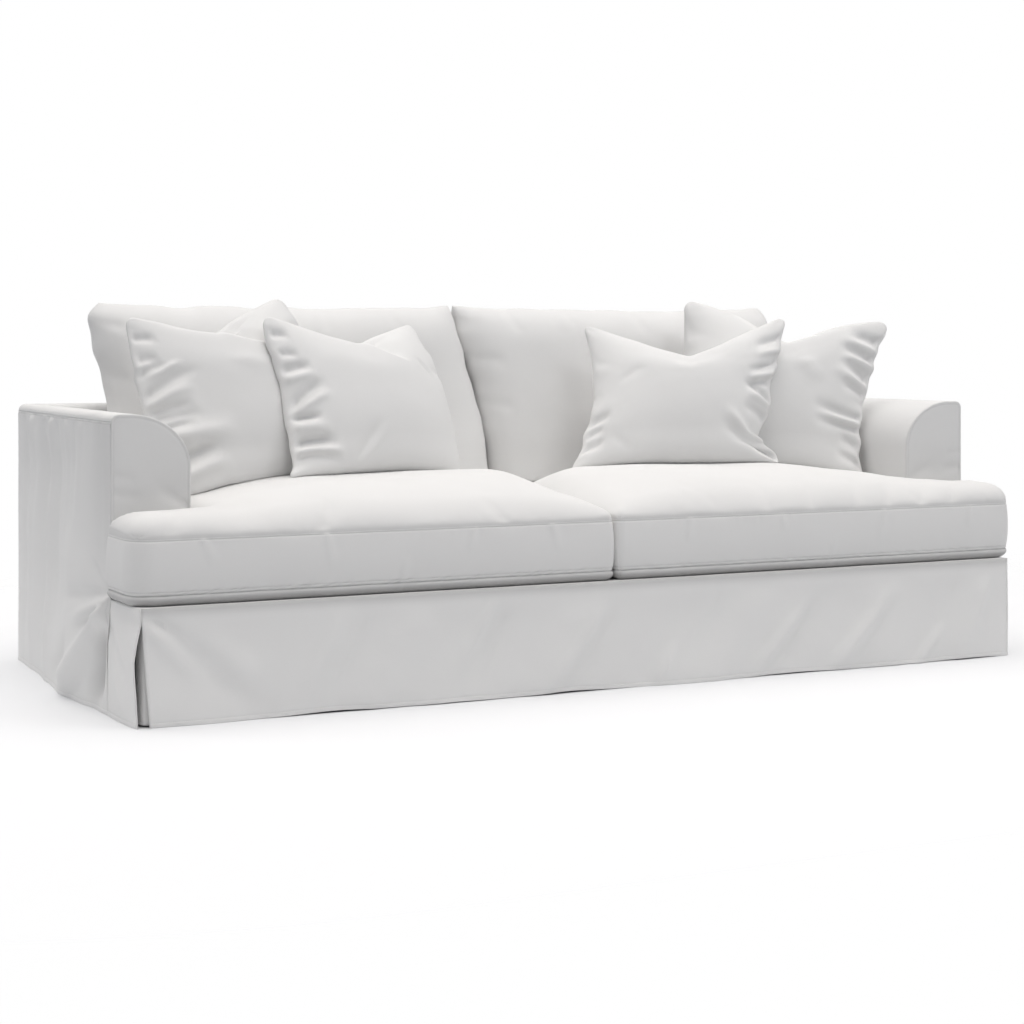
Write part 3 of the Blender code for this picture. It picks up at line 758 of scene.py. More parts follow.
@dataclass(frozen=True)
class ThreadFinish:
    """The sewing thread, a little smoother than the cloth; its darker colour is painted shade for
    the shadow in the needle holes.
    """

    name: str = "cotton_thread"
    # Painted shade: darker than the cloth, so that the stitches show the shadow of their needle
    # holes.
    colour: tuple[float, float, float] = (0.600, 0.598, 0.594)
    roughness: float = 0.62

    def make(self) -> bpy.types.Material:
        """Make the thread's material."""
        material = bpy.data.materials.new(self.name)
        graph = Graph(material)
        ply = graph.noise(graph.add("TexCoord", out=COORD_OBJECT), 900.0, 1.0)
        pale = graph.vector("SCALE", {0: self.colour, "Scale": 0.97 + ply * 0.06})
        graph.put(graph.shader.inputs["Base Color"], pale)
        graph.shader.inputs["Roughness"].default_value = self.roughness
        material.diffuse_color = (*self.colour, 1.0)
        return material


@dataclass
class Cloths:
    """The finishes of the set: one cloth, kept under three slots so that each can be changed."""

    def __post_init__(self) -> None:
        """Make the materials."""
        self.body = ClothFinish("cover_twill", "body_cloth").make()
        self.seat = ClothFinish("cushion_twill", "cushion_cloth").make()
        self.pillow = ClothFinish("pillow_twill", "pillow_cloth").make()
        self.thread = ThreadFinish().make()

    def dress(self, piece: bpy.types.Object, slot: str, sewn: bool = False) -> None:
        """Put the slot's cloth, or the thread sewn through it, on a piece.

        Args:
            piece: the new piece.
            slot: the name of its slot.
            sewn: whether it is stitching.
        """
        chosen = {"body_cloth": self.body, "cushion_cloth": self.seat, "pillow_cloth": self.pillow}
        piece.data.materials.append(self.thread if sewn else chosen[slot])


def shade_of(height: Grid) -> Grid:
    """How much painted shade a sunk place this deep gets, from 0 on plain cloth to 1 in a seam."""
    return np.clip(-height / DARKEST_DIP, 0.0, 1.0)


# ------------------------------------------------------------------------------
# The body of the cover


def half_width(y: Grid) -> Grid:
    """From the middle to the outside arm at this depth."""
    share = np.clip((y - ARM_FRONT) / (DEPTH - ARM_FRONT), 0.0, 1.0)
    return HALF_FRONT + (HALF_REAR - HALF_FRONT) * share


def arch(x: Grid) -> Grid:
    """Height of the arm's top at this distance from the middle."""
    share = np.clip((ARM_INSIDE + ARCH_WIDE - x) / ARCH_WIDE, 0.0, 1.0)
    return TOP - ARCH_HIGH * (1 - np.sqrt(1 - share**2))


def arch_curve(turn: Grid) -> Grid:
    """Places (x, z) on an arm's arch, from its crown at a turn of 0 to its inside at 90 degrees.

    The places come in the order of the turns.
    """
    across = ARM_INSIDE + ARCH_WIDE * (1 - np.sin(turn))
    return np.column_stack([across, TOP - ARCH_HIGH * (1 - np.cos(turn))])


def ball(depth_x: Grid, depth_y: Grid) -> tuple[Grid, Grid, Grid]:
    """Put a place past the flat near a top corner, in shares of ROUND, on a ball.

    Args:
        depth_x: how far past the flat it is outwards.
        depth_y: how far backwards.

    Returns:
        How far it then is outwards, backwards and upwards, in metres.
    """
    x = ROUND * depth_x * np.sqrt(1 - depth_y**2 / 2)
    y = ROUND * depth_y * np.sqrt(1 - depth_x**2 / 2)
    return x, y, np.sqrt(np.maximum(ROUND**2 - x**2 - y**2, 0.0))


def seam_sway(high: Grid) -> Grid:
    """How far the seam beside the corner strip sways back at this height."""
    heights = (0.0, 0.05, 0.10, 0.16, 0.21, 0.25)
    return np.interp(high, heights, (-0.010, -0.006, 0.008, 0.018, 0.008, 0.0))


class Fold(NamedTuple):
    """A long soft ridge of the solid panel, or a trough if its height is under 0."""

    along_from: float
    up_from: float
    along_to: float
    up_to: float
    width: float
    height: float


class Wave(NamedTuple):
    """A place where a hem swings out and lifts off the floor."""

    along: float
    width: float
    out: float
    lift: float


def folds(*rows: tuple[float, ...]) -> tuple[Fold, ...]:
    """Folds from rows in millimetres."""
    return tuple(Fold(*(value / MM for value in row)) for row in rows)


def waves(*rows: tuple[float, ...]) -> tuple[Wave, ...]:
    """Waves from rows in millimetres."""
    return tuple(Wave(*(value / MM for value in row)) for row in rows)


def broad_folds(ridges: Sequence[Fold], along: Grid, up: Grid) -> Grid:
    """How far the long folds lift a panel at these places.

    Args:
        ridges: the folds.
        along: places along the panel.
        up: places up it.

    Returns:
        The height over the plain panel at each place.
    """
    total = np.zeros(np.broadcast(along, up).shape)
    for fold in ridges:
        run = np.array([fold.along_to - fold.along_from, fold.up_to - fold.up_from])
        a, b = along - fold.along_from, up - fold.up_from
        share = np.clip((a * run[0] + b * run[1]) / (run @ run), 0.0, 1.0)
        away = np.hypot(a - share * run[0], b - share * run[1])
        total = total + fold.height * np.exp(-((away / fold.width) ** 2))
    return total


def hem_waves(places: Sequence[Wave], along: Grid) -> tuple[Grid, Grid]:
    """How far a hem swings out and lifts at these places along it.

    Args:
        places: the waves.
        along: places along the hem.

    Returns:
        How far it swings out and how far it lifts.
    """
    out, lift = np.zeros_like(along), np.zeros_like(along)
    for wave in places:
        share = np.exp(-(((along - wave.along) / wave.width) ** 2))
        out = out + wave.out * share
        lift = lift + wave.lift * share
    return out, lift


# Outside arm: along runs from the arm's front to the back, up from the floor.
ARM_FOLDS = {
    Side.LEFT: folds(
        (10, 235, 105, 225, 22, 7),
        (12, 215, 150, 80, 32, 12),
        (110, 110, 180, 40, 30, -9),
        (250, 180, 280, 480, 110, 12),
        (340, 520, 860, 500, 85, -10),
        (300, 40, 340, 330, 60, 7),
        (520, 30, 500, 560, 35, 6),
        (600, 60, 600, 600, 30, -5),
        (710, 20, 690, 610, 34, 7),
        (800, 40, 790, 590, 26, -4),
    ),
    Side.RIGHT: folds(
        (12, 230, 130, 120, 34, 9),
        (150, 60, 230, 300, 40, -6),
        (250, 180, 280, 480, 110, 10),
        (380, 30, 400, 420, 50, 7),
        (560, 40, 540, 580, 34, 6),
        (660, 60, 650, 560, 30, -5),
        (780, 30, 770, 600, 30, 6),
    ),
}
ARM_CREASES = {
    Side.LEFT: creases(
        (826, 645, 820, -400, 14, -4.1, 1.2, 0, 1),
        (735, 645, 728, -400, 17, 8.9, 1.3, 4, 1),
        (628, 645, 620, -400, 26, -7.6, 1.2, 0, 1),
        (538, 645, 529, -500, 14, 10, 1.2, -4, 1),
        (486, 645, 470, 100, 18, -5.4, 1.5, 0, 1),
        (400, 645, 386, 300, 16, 4.3, 1.6, 4, 1),
        (330, 645, 318, 360, 14, -3.8, 1.7, 0, 1),
        (262, 645, 262, 420, 12, 4.1, 1.7, 0, 1),
        (26, 620, 28, 240, 13, -4.9, 1),
        (140, 270, 380, 330, 42, 7.6, 1.2),
        (4, 262, 470, 206, 11, -7, 2.2, 10, 1),
        (6, 262, 170, 336, 9, -5.6, 2, -4, 1),
        (4, 253, 280, 180, 11, 15, 1.8, -4, 1),
        (12, 241, 220, 176, 12, -19, 1.6, -4, 1),
        (6, 234, 430, -90, 20, 30, 2.2, 12, 1),
        (30, 196, 122, -70, 27, -33, 1.5),
        (290, 150, 540, -80, 40, -10, 1.3),
        (180, 30, 330, -10, 22, -8, 1.2),
    ),
    Side.RIGHT: creases(
        (4, 252, 300, 190, 11, 8, 1.9, 4, 1),
        (6, 262, 210, 330, 10, -5.2, 2, -4, 1),
        (6, 234, 400, -70, 20, 14, 2.1, 10, 1),
        (34, 190, 120, -60, 20, -9, 1.5),
        (120, 640, 110, 260, 50, -8.9, 1.1),
        (310, 645, 300, 300, 15, 4.6, 1.6, 0, 1),
        (424, 645, 414, -300, 15, 8.6, 1.3, 4, 1),
        (520, 645, 530, -300, 24, -6.8, 1.3, 0, 1),
        (640, 645, 650, -400, 15, 8.9, 1.3, -4, 1),
        (790, 645, 782, -200, 16, 6.5, 1.3, 0, 1),
        (290, 150, 500, -70, 36, -8, 1.3),
    ),
}
ARM_HEM = {
    Side.LEFT: waves((320, 300, 30, 0)),
    Side.RIGHT: waves((300, 260, 22, 0), (660, 120, 4, 5)),
}


@dataclass
class Body:
    """What the pieces of the cover's body share: the side, the cloths and the stitching."""

    side: Side
    cloths: Cloths
    stitching: Stitching

    def finish(
        self, panel: Panel, flat: Point2, held: Held, area: float | None = None
    ) -> bpy.types.Object:
        """Args:
            panel: the panel's grid.
            flat: width and length of its cut. Not used.
            held: how it is held. Not used.
            area: its flat area where the cut isn't a rectangle. Not used.

        Returns:
            The piece.
        """
        piece = panel.build(self.side)
        self.cloths.dress(piece, "body_cloth")
        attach(piece, "root")
        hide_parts(panel.name)
        LOG.info("%s: %d faces", piece.name, len(piece.data.polygons))
        return piece


@dataclass
class OutsideArm(Body):
    """Outside arm panel, from the floor to the top seam and half way round the rear corner."""

    step: float = 0.0095
    front_painted_shade: float = 0.55  # how much painted shade darkens the band behind the front seam
    pocket_painted_shade: float = 55.0  # painted shade in the pulled folds' valleys, by their depth in m
    corner_places: tuple[float, ...] = (8.0, 15.0, 22.0, 30.0, 37.0, 43.0)  # in degrees
    small_gathers: float = 0.0020  # heights of the gathers under the top seam
    large_gathers: float = 0.0022
    front_gathers: float = 0.0008  # of those beside the front seam
    hem_gathers: float = 0.0005  # and of those over the hem
    uneven: float = 0.0010  # how uneven the cloth is all over
    hem_hold: float = 0.20  # how much of its folds is left at the hem
    tug_hold: float = 0.25  # and of the pulled ones there

    def build(self) -> bpy.types.Object:
        """Make the panel with its folds, its gathers under the top seam and its hem."""
        start = ARM_FRONT + SEAM_PLAY
        straight = stations(start, DEPTH - ROUND, self.step, seams=(start,))
        turn = np.radians(self.corner_places)
        y = np.concatenate([straight, DEPTH - ROUND + ROUND * np.sin(turn)])
        x = np.concatenate([half_width(straight), HALF_REAR - ROUND + ROUND * np.cos(turn)])
        out_x = np.concatenate([np.ones_like(straight), np.cos(turn)])
        out_y = np.concatenate([np.zeros_like(straight), np.sin(turn)])
        up = stations(0.0, SEWN_TOP, self.step, seams=(HEM, SEWN_TOP))
        along, high = (y - ARM_FRONT)[None, :], up[:, None]
        under = SEWN_TOP - high
        swing, lift = hem_waves(ARM_HEM[self.side], y - ARM_FRONT)
        rear_calm = 1 - soft_step((y - DEPTH + 0.10) / 0.09)
        top_calm = 1 - soft_step((high - SEAM + 0.09) / 0.08)
        ease = soft_step((along - 0.002) / 0.03)
        hem_calm = self.hem_hold + (1 - self.hem_hold) * soft_step(high / 0.16)
        broad = broad_folds(ARM_FOLDS[self.side], along, high) * top_calm * ease * hem_calm
        low = 1 - soft_step(high / 0.28)
        broad = (broad + low * swing[None, :]) * rear_calm[None, :]
        seed = self.side.seed(11)
        edge = soft_step(along / 0.012) * soft_step((DEPTH - ARM_FRONT - along) / 0.03)
        hanging = [crease for crease in ARM_CREASES[self.side] if crease.start[1] > DECK * 2]
        pulled = [crease for crease in ARM_CREASES[self.side] if crease.start[1] <= DECK * 2]
        held = self.tug_hold + (1 - self.tug_hold) * soft_step(high / 0.07)
        tug = relief(pulled, along, high) * held
        fine = (relief(hanging, along, high) * hem_calm + tug) * soft_step(under / 0.02) * edge
        fine = fine + self.small_gathers * puckers(along, under, seed, 0.014, 0.040, 0.30)
        fine = fine + self.large_gathers * puckers(along, under, seed + 1, 0.030, 0.110, 0.10)
        fine = fine + self.front_gathers * puckers(high, along, seed + 3, 0.013, 0.020)
        fine = fine + self.hem_gathers * puckers(along, high, seed + 5, 0.021, 0.022)
        fine = fine + self.uneven * lumps(along, high, 0.085, seed) * top_calm * edge
        sewn = seam_dips(under, (0.0007, 0.0016), (0.0006, 0.0011))
        sewn = sewn + seam_dips(along, (0.0005, 0.0014), (0.0007, 0.0011)) + hem_dip(high)
        moved = broad + fine + sewn
        z = high + lift[None, :] * (1 - high / SEAM) * rear_calm[None, :]
        sway = seam_sway(high) * (1 - soft_step(along / 0.10))
        grid = points_of(x + out_x * moved, y + out_y * moved + sway, z)
        # Painted shade: a broad band behind the front seam and the pulled folds' valleys are
        # darkened, beside the seams' painted shade.
        painted_band = self.front_painted_shade * bump(along - 0.075, 0.085) * soft_step((high - 0.20) / 0.25)
        painted_band = painted_band + self.pocket_painted_shade * np.clip(-tug - 0.002, 0.0, None) * edge
        panel = Panel("outside_arm_" + self.side.value, grid, shade_of(sewn) + painted_band)
        last = len(straight)
        self.stitching.add(panel.row(nearest(up, HEM), 3, last))
        self.stitching.add(panel.row(nearest(up, SEWN_TOP - NEEDLE), 2, last))
        self.stitching.add(panel.column(nearest(y, start + NEEDLE), 2, -2))
        return self.finish(panel, (0.910, 0.660), Held.HUNG)


@dataclass
class ArmCover(Body):
    """Arm cover: top and inside arm in one piece, from the outer top seam over to the deck."""

    step: float = 0.010
    round_steps: int = 9

    def section(self) -> Grid:
        """Places across the arm past its outer rounding, from the flat top down to the deck."""
        flat = [(ARM_INSIDE + ARCH_WIDE, TOP), (BACK_TOP_END + GAP, TOP)]
        curve = arch_curve(np.radians(np.linspace(14.0, 90.0, 26)))
        fall = np.linspace(TOP - ARCH_HIGH, DECK + GAP, 28)[1:]
        inner = np.column_stack([np.full_like(fall, ARM_INSIDE), fall])
        return np.concatenate([np.array(flat), curve, inner])

    def build(self) -> bpy.types.Object:
        """Make the cover with its rounded edge, its arch and the pulls over it."""
        shares = np.cos(np.radians(np.linspace(0.0, 90.0, self.round_steps)))
        inner = self.section()
        start = ARM_FRONT + SEAM_PLAY
        front = stations(start, BACK_FACE - GAP, self.step, seams=(start,))
        rear = np.linspace(BACK_FACE + ROUND, DEPTH - ROUND, 12)
        rear = np.concatenate([BACK_FACE + np.array([0.004, 0.009, 0.014]), rear])
        turn = np.sin(np.radians(np.linspace(0.0, 90.0, 8)[1:]))
        y = np.concatenate([front, rear, np.full(len(turn), DEPTH - ROUND)])
        past = np.concatenate([np.zeros(len(front) + len(rear)), turn])
        rows = []
        for share in shares:
            dx, dy, dz = ball(np.full_like(y, share), past)
            height = SEAM + SEAM_PLAY + dz * (1 - SEAM_PLAY / ROUND)
            rows.append(points_of(half_width(y) - ROUND + dx, y + dy, height))
        for x, z in inner:
            _, dy, dz = ball(np.zeros_like(y), past)
            rows.append(points_of(x, y + dy, z - TOP + SEAM + dz))
        grid = np.array(rows)
        across, along = run_along(grid[:, 0])[:, None], (y - ARM_FRONT - GAP)[None, :]
        seed = self.side.seed(31)
        calm = soft_step(along / 0.02) * soft_step((BACK_FACE - ARM_FRONT - along) / 0.03)
        calm = calm * soft_step(across / 0.02)
        fine = 0.0010 * lumps(along, across, 0.075, seed) * calm
        drawn = 0.0013 * puckers(along, across, seed + 2, 0.012, 0.020, 1.2)
        fine = fine + drawn * soft_step(across / 0.006)
        fine = fine + 0.0007 * puckers(across, along, seed + 4, 0.022, 0.040)
        sewn = seam_dips(across, (0.0005, 0.0014), (0.0005, 0.0013)) - 0.0005 * bump(along, 0.0014)
        grid = raised(grid, fine + sewn)
        keep = np.ones((len(rows) - 1, len(y) - 1), bool)
        above = np.clip((inner[1:-1, 1] - SEAM) / ROUND, 0.0, 1.0)
        lap = BACK_FACE + ROUND * (1 - np.sqrt(1 - above**2)) + CLOTH
        cut = y[None, len(front) :] > lap[:, None]
        keep[len(shares) + 1 :, len(front) - 1 :] = ~cut & (above[:, None] > 0)
        panel = Panel("arm_cover_" + self.side.value, grid, shade_of(sewn), keep)
        self.stitching.add(panel.row(2, 2, len(front)))
        return self.finish(panel, (0.546, 0.918), Held.STRETCHED, area=0.424)


# The creases of an arm's front facing, across it and up from the floor
FACING_PULLS = creases(
    (1178, 530, 1120, 512, 8, -2.4, 1.8, 0, 1),
    (1176, 488, 1100, 480, 10, -2.6, 1.9, 2, 1),
    (1000, 452, 1090, 502, 11, -3, 1.8, 3, 1),
    (1000, 400, 1080, 420, 12, -2.2, 1.8, 0, 1),
    (1176, 290, 1100, 360, 12, 1.8, 1.6, 3, 1),
)


@dataclass
class ArmFront(Body):
    """Arm front facing: the arched panel at the front of an arm."""

    across_cells: int = 38
    corner_cells: int = 9  # of them over the outer rounding
    up_cells: int = 76
    plump: float = 0.004  # how far its middle stands out
    uneven: float = 0.0012  # how uneven it is all over
    edge_uneven: float = 0.0005  # and beside its edge
    welt_high: float = 0.0007  # how far the edge's seam stands out
    line_deep: float = 0.0008  # how deep the stitched line lies
    line_in: float = 0.0062  # from the facing's edge to its stitched line

    def head(self) -> Grid:
        """The facing's upper outline from its inner to its outer side."""
        turn = np.radians(np.linspace(90.0, 0.0, self.corner_cells))
        outer_x = HALF_FRONT - ROUND + ROUND * np.cos(turn)
        outer = np.column_stack([outer_x, SEAM + ROUND * np.sin(turn)])
        inner = np.radians(np.linspace(90.0, 0.0, self.across_cells - self.corner_cells))
        return np.concatenate([arch_curve(inner), outer])

    def edge_distance(self, x: Grid, z: Grid, head: Grid) -> Grid:
        """How far each place of the facing is from its sewn outline.

        Args:
            x: places across the facing.
            z: their heights.
            head: its upper outline.

        Returns:
            The distances.
        """
        outline = np.concatenate([[(ARM_INSIDE, DECK)], head, [(HALF_FRONT, DECK)]])
        best = np.full(x.shape, 1.0)
        for start, end in zip(outline, outline[1:]):
            run, a, b = end - start, x - start[0], z - start[1]
            share = np.clip((a * run[0] + b * run[1]) / max(run @ run, 1e-12), 0.0, 1.0)
            best = np.minimum(best, np.hypot(a - share * run[0], b - share * run[1]))
        return best

    def build(self) -> bpy.types.Object:
        """Make the facing, a little full in its middle, with the stitched line inside its edge."""
        head = self.head()
        foot = DECK + GAP
        share = np.linspace(0.0, 1.0, self.up_cells)
        share = (share + 0.35 * np.sin(share * math.pi) / math.pi)[:, None]
        share = (share - share[0]) / (share[-1] - share[0])
        z = foot + (head[None, :, 1] - foot) * share
        x = np.broadcast_to(head[:, 0], z.shape)
        middle, half = (HALF_FRONT + ARM_INSIDE) / 2, (HALF_FRONT - ARM_INSIDE) / 2
        full = np.clip(1 - ((x - middle) / half) ** 2, 0, 1) * (1 - share**6) * self.plump
        away = self.edge_distance(x, z, head)
        seed = self.side.seed(51)
        fine = self.uneven * lumps(x, z, 0.055, seed) * soft_step(away / 0.03)
        fine = fine + relief(FACING_PULLS, x, z) * soft_step(away / 0.012)
        beside = bump(away - 0.012, 0.008)
        fine = fine + self.edge_uneven * lumps(x * 3, z * 3, 0.055, seed + 3) * beside
        welt = self.welt_high * bump(away - 0.0022, 0.0018)
        sewn = welt - self.line_deep * bump(away - self.line_in, 0.0015)
        grid = points_of(x, ARM_FRONT - CLOTH - full - fine - sewn, z)
        panel = Panel("arm_front_" + self.side.value, grid, shade_of(sewn - welt))
        self.stitching.add(self.inset(grid, away))
        return self.finish(panel, (0.190, 0.415), Held.STRETCHED)

    def inset(self, grid: Grid, away: Grid) -> tuple[Grid, Grid]:
        """The stitched line inside the outline, up one side, over the top and down the other.

        Args:
            grid: the facing's points.
            away: their distances from the outline.

        Returns:
            The line's points and normals.
        """
        rows, columns = away.shape
        middle, half_up, start = columns // 2, rows // 2, int(rows * 0.04)
        cells = [(r, nearest(away[r, :middle], self.line_in)) for r in range(start, rows - 6)]
        for c in range(4, columns - 4):
            cells.append((half_up + nearest(away[half_up:, c], self.line_in), c))
        for r in range(rows - 7, start, -1):
            cells.append((r, middle + nearest(away[r, middle:], self.line_in)))
        path, turned = line_of(grid, cells)
        return smoothed(path, 3), turned


@dataclass
class SkirtCorner(Body):
    """Short side skirt in front of an arm, between the arm's seam and the corner slit."""

    flare_up: tuple[float, ...] = (0.0, 0.06, 0.10, 0.14, 0.18, 0.22)
    flare_out: tuple[float, ...] = (0.007, 0.010, 0.013, 0.015, 0.009, 0.0)
    closed_share: float = 0.15  # of that flare on the side whose slit hangs closed
    belly: float = 0.005  # how far its middle stands out

    def build(self) -> bpy.types.Object:
        """Make the strip with its flare, its curved seam and its hem."""
        up = stations(0.0, DECK, 0.007, seams=(HEM,))
        share = np.linspace(0.0, 1.0, 30)
        high = up[:, None]
        under = soft_step((DECK - high) / 0.03)
        depth = (ARM_FRONT - SEAM_PLAY) * share[None, :]
        y = depth + seam_sway(high) * share[None, :] ** 2
        x = HALF_SKIRT + (HALF_FRONT - HALF_SKIRT) * share
        calm = 1 - soft_step((high - 0.17) / 0.06)
        low = 1 - soft_step(high / 0.20)
        opened = 1.0 if self.side is Side.LEFT else self.closed_share
        flare = opened * np.interp(high, self.flare_up, self.flare_out)
        flare = flare * (1 - share[None, :]) ** 1.5
        belly = np.sin(math.pi * share)[None, :] * self.belly * calm
        swing, lift = hem_waves(ARM_HEM[self.side], np.zeros(1))
        broad = flare + belly + low * (swing * share)[None, :]
        seed = self.side.seed(61)
        pulls = creases(
            (200, 235, 50, 130, 13, 4.6, 1.8, 4, 1),
            (190, 180, 40, 70, 14, -5, 1.6, 3, 1),
            (150, 110, 60, 10, 16, 4.4, 1.5),
        )
        edge = soft_step(share / 0.08)[None, :] * soft_step((1 - share) / 0.05)[None, :]
        fine = relief(pulls, y, high) * under * edge + 0.0006 * lumps(y, high, 0.05, seed) * under
        sewn = hem_dip(high) - 0.0004 * bump(ARM_FRONT - depth, 0.0020)
        z = high + lift * share[None, :] * (1 - high / DECK)
        grid = points_of(x[None, :] + broad + fine + sewn, y, z)
        panel = Panel("skirt_corner_" + self.side.value, grid, shade_of(sewn))
        self.stitching.add(panel.row(nearest(up, HEM), 1, -1))
        return self.finish(panel, (0.200, 0.265), Held.HUNG)


@dataclass
class CornerPleat(Body):
    """Pleat backing behind a corner slit: a panel set across the corner, inside both skirts."""

    set_back: float = 0.0075
    reach: float = 0.060

    def build(self) -> bpy.types.Object:
        """Make the backing as a soft curve round the corner."""
        up = np.linspace(0.004, DECK - CLOTH - GAP, 40)
        back = self.set_back
        inward = (self.reach, 0.030, back + 0.004, back, back)
        depth = (back, back + 0.002, back + 0.006, 0.030, self.reach)
        share, knots = np.linspace(0.0, 1.0, 24), np.linspace(0.0, 1.0, len(depth))
        x = smoothed(HALF_SKIRT - np.interp(share, knots, inward), 4)
        y = smoothed(np.interp(share, knots, depth), 4)
        grid = points_of(x, y, up[:, None])
        sewn = hem_dip(up[:, None] - up[0]) + np.zeros(len(x))
        grid = raised(grid, sewn)
        panel = Panel("corner_pleat_" + self.side.value, grid, shade_of(sewn))
        return self.finish(panel, (0.110, 0.250), Held.HUNG)


# Front skirt: along is x from the middle, up from the floor.
SKIRT_FOLDS = folds(
    (-1150, 235, -940, 110, 30, 8),
    (-1100, 130, -900, 20, 40, -6),
    (-640, 30, -520, 210, 40, 7),
    (-420, 20, -290, 220, 36, -6),
    (-220, 30, -90, 200, 42, 8),
    (80, 30, 200, 210, 36, -6),
    (270, 20, 400, 200, 42, 8),
    (500, 40, 620, 220, 34, -6),
    (660, 20, 800, 210, 40, 8),
    (860, 30, 960, 200, 36, -5),
    (1020, 20, 1090, 200, 34, 6),
)
SKIRT_CREASES = creases(
    (-1168, 244, -960, 106, 13, -11.2, 2, 0, 1),
    (-1168, 222, -1020, 80, 14, 10, 1.8, 0, 1),
    (-1120, 190, -900, 20, 22, -7.5, 1.6, 3),
    (-700, 230, -820, 20, 18, 7.5, 1.5, 4),
    (-640, 220, -760, 10, 16, -6.3, 1.5, 4),
    (-333, 226, -430, 68, 11, 10, 1.6, 2),
    (-300, 200, -400, 30, 14, -7.5, 1.5, 4),
    (-48, 196, -210, -10, 12, 11.2, 1.7, 4),
    (-10, 180, -150, -10, 14, -8.5, 1.5, 4),
    (150, 96, 90, -20, 10, 8, 1.4),
    (300, 230, 200, 60, 18, -5.7, 1.5, 4),
    (535, 176, 350, -20, 12, 11.2, 1.7, 4),
    (560, 160, 410, -10, 13, -8.8, 1.5, 4),
    (777, 180, 570, -30, 12, 11.5, 1.7, 5),
    (810, 160, 640, -20, 14, -8.8, 1.5, 4),
    (960, 90, 846, -30, 11, 8.8, 1.4),
    (1110, 210, 1020, 20, 16, 7.5, 1.4, 2),
    (1020, 220, 930, 60, 18, -5.5, 1.4, 2),
)
SKIRT_HEM = waves(
    (-1020, 120, 6, 0),
    (-740, 110, -2, 4),
    (-440, 120, 10, 2),
    (-140, 100, 2, 4),
    (180, 120, 12, 0),
    (500, 110, 2, 3),
    (800, 120, 10, 1),
    (1040, 90, 4, 3),
)


@dataclass
class FrontSkirt(Body):
    """Front skirt: one wide panel that hangs from the deck to the floor between the slits."""

    step: float = 0.009
    closed_share: float = 0.04  # of the slit's width on the side where it hangs closed
    least_left: float = 0.0036  # how wide the slits are at their top
    least_right: float = 0.0012
    slit_top: float = DECK - 0.030

    def slit(self, up: Grid, share: Grid) -> Grid:
        """How far the skirt stands back from its corners: the right one hangs closed.

        Args:
            up: heights.
            share: places along, from -1 on the left to 1.

        Returns:
            The distances.
        """
        opened = np.where(share < 0, 1.0, self.closed_share)
        least = np.where(share < 0, self.least_left, self.least_right)
        return least + opened * SLIT * np.clip((self.slit_top - up) / self.slit_top, 0.0, 1.0)

    def build(self) -> bpy.types.Object:
        """Make the skirt with its diagonal drags and its wavy hem."""
        up = stations(0.0, DECK, 0.0075, seams=(HEM,))
        count = int(2 * HALF_SKIRT / self.step)
        share = np.linspace(-1.0, 1.0, count)[None, :]
        high = up[:, None]
        x = (HALF_SKIRT - self.slit(high, share)) * share
        swing, lift = hem_waves(SKIRT_HEM, share * HALF_SKIRT)
        edge = soft_step((1 - np.abs(share)) / 0.03)
        calm = 1 - soft_step((high - 0.17) / 0.06)
        low = 1 - soft_step(high / 0.18)
        broad = broad_folds(SKIRT_FOLDS, x, high) * calm * (0.25 + 0.75 * edge) + low * swing
        fine = relief(SKIRT_CREASES, x, high) + 0.0012 * lumps(x + 0.6 * high, high, 0.07, 71)
        fine = fine * soft_step((DECK - high) / 0.03)
        fine = fine + 0.0008 * puckers(x, high, 74, 0.024, 0.026, 0.6)
        fine = fine * (0.3 + 0.7 * edge)
        sewn = hem_dip(high) + 0 * x
        z = high + lift * edge * (1 - high / DECK)
        grid = points_of(x, -(broad + fine + sewn), z)
        # Painted shade: the skirt's top is darkened under the seat cushions' roll, beside its hem
        # line's painted shade.
        under = 1.7 * soft_step((high - DECK + 0.034) / 0.036) ** 1.5
        panel = Panel("front_skirt", grid, shade_of(sewn) + under)
        self.stitching.add(panel.row(nearest(up, HEM), 1, -1))
        return self.finish(panel, (2.350, 0.265), Held.HUNG)


BACK_FOLDS = folds(
    (-900, 40, -880, 560, 50, 6),
    (-520, 30, -560, 500, 60, -6),
    (-180, 40, -160, 580, 50, 7),
    (240, 30, 260, 480, 60, -5),
    (620, 40, 600, 560, 50, 7),
    (960, 30, 940, 500, 45, -5),
)
BACK_CREASES = creases(
    (-980, 640, -960, 100, 14, 2.4, 1.6, 4, 1),
    (-700, 640, -720, 300, 13, 2, 1.6, 0, 1),
    (-340, 640, -330, 60, 15, 2.6, 1.6, -4, 1),
    (-40, 640, -60, 340, 13, 1.8, 1.6, 0, 1),
    (360, 640, 380, 80, 14, 2.4, 1.6, 4, 1),
    (760, 640, 750, 260, 13, 2, 1.6, 0, 1),
    (1000, 640, 1020, 120, 13, 2.2, 1.6, 0, 1),
    (-200, 260, -80, 30, 20, 2.6, 1.5, 4),
    (560, 240, 460, 30, 20, 2.4, 1.5, 4),
)
BACK_HEM = waves(
    (-880, 140, 0, 5),
    (-480, 140, 0, 0),
    (-100, 140, 0, 6),
    (340, 140, 0, 1),
    (800, 140, 0, 6),
)


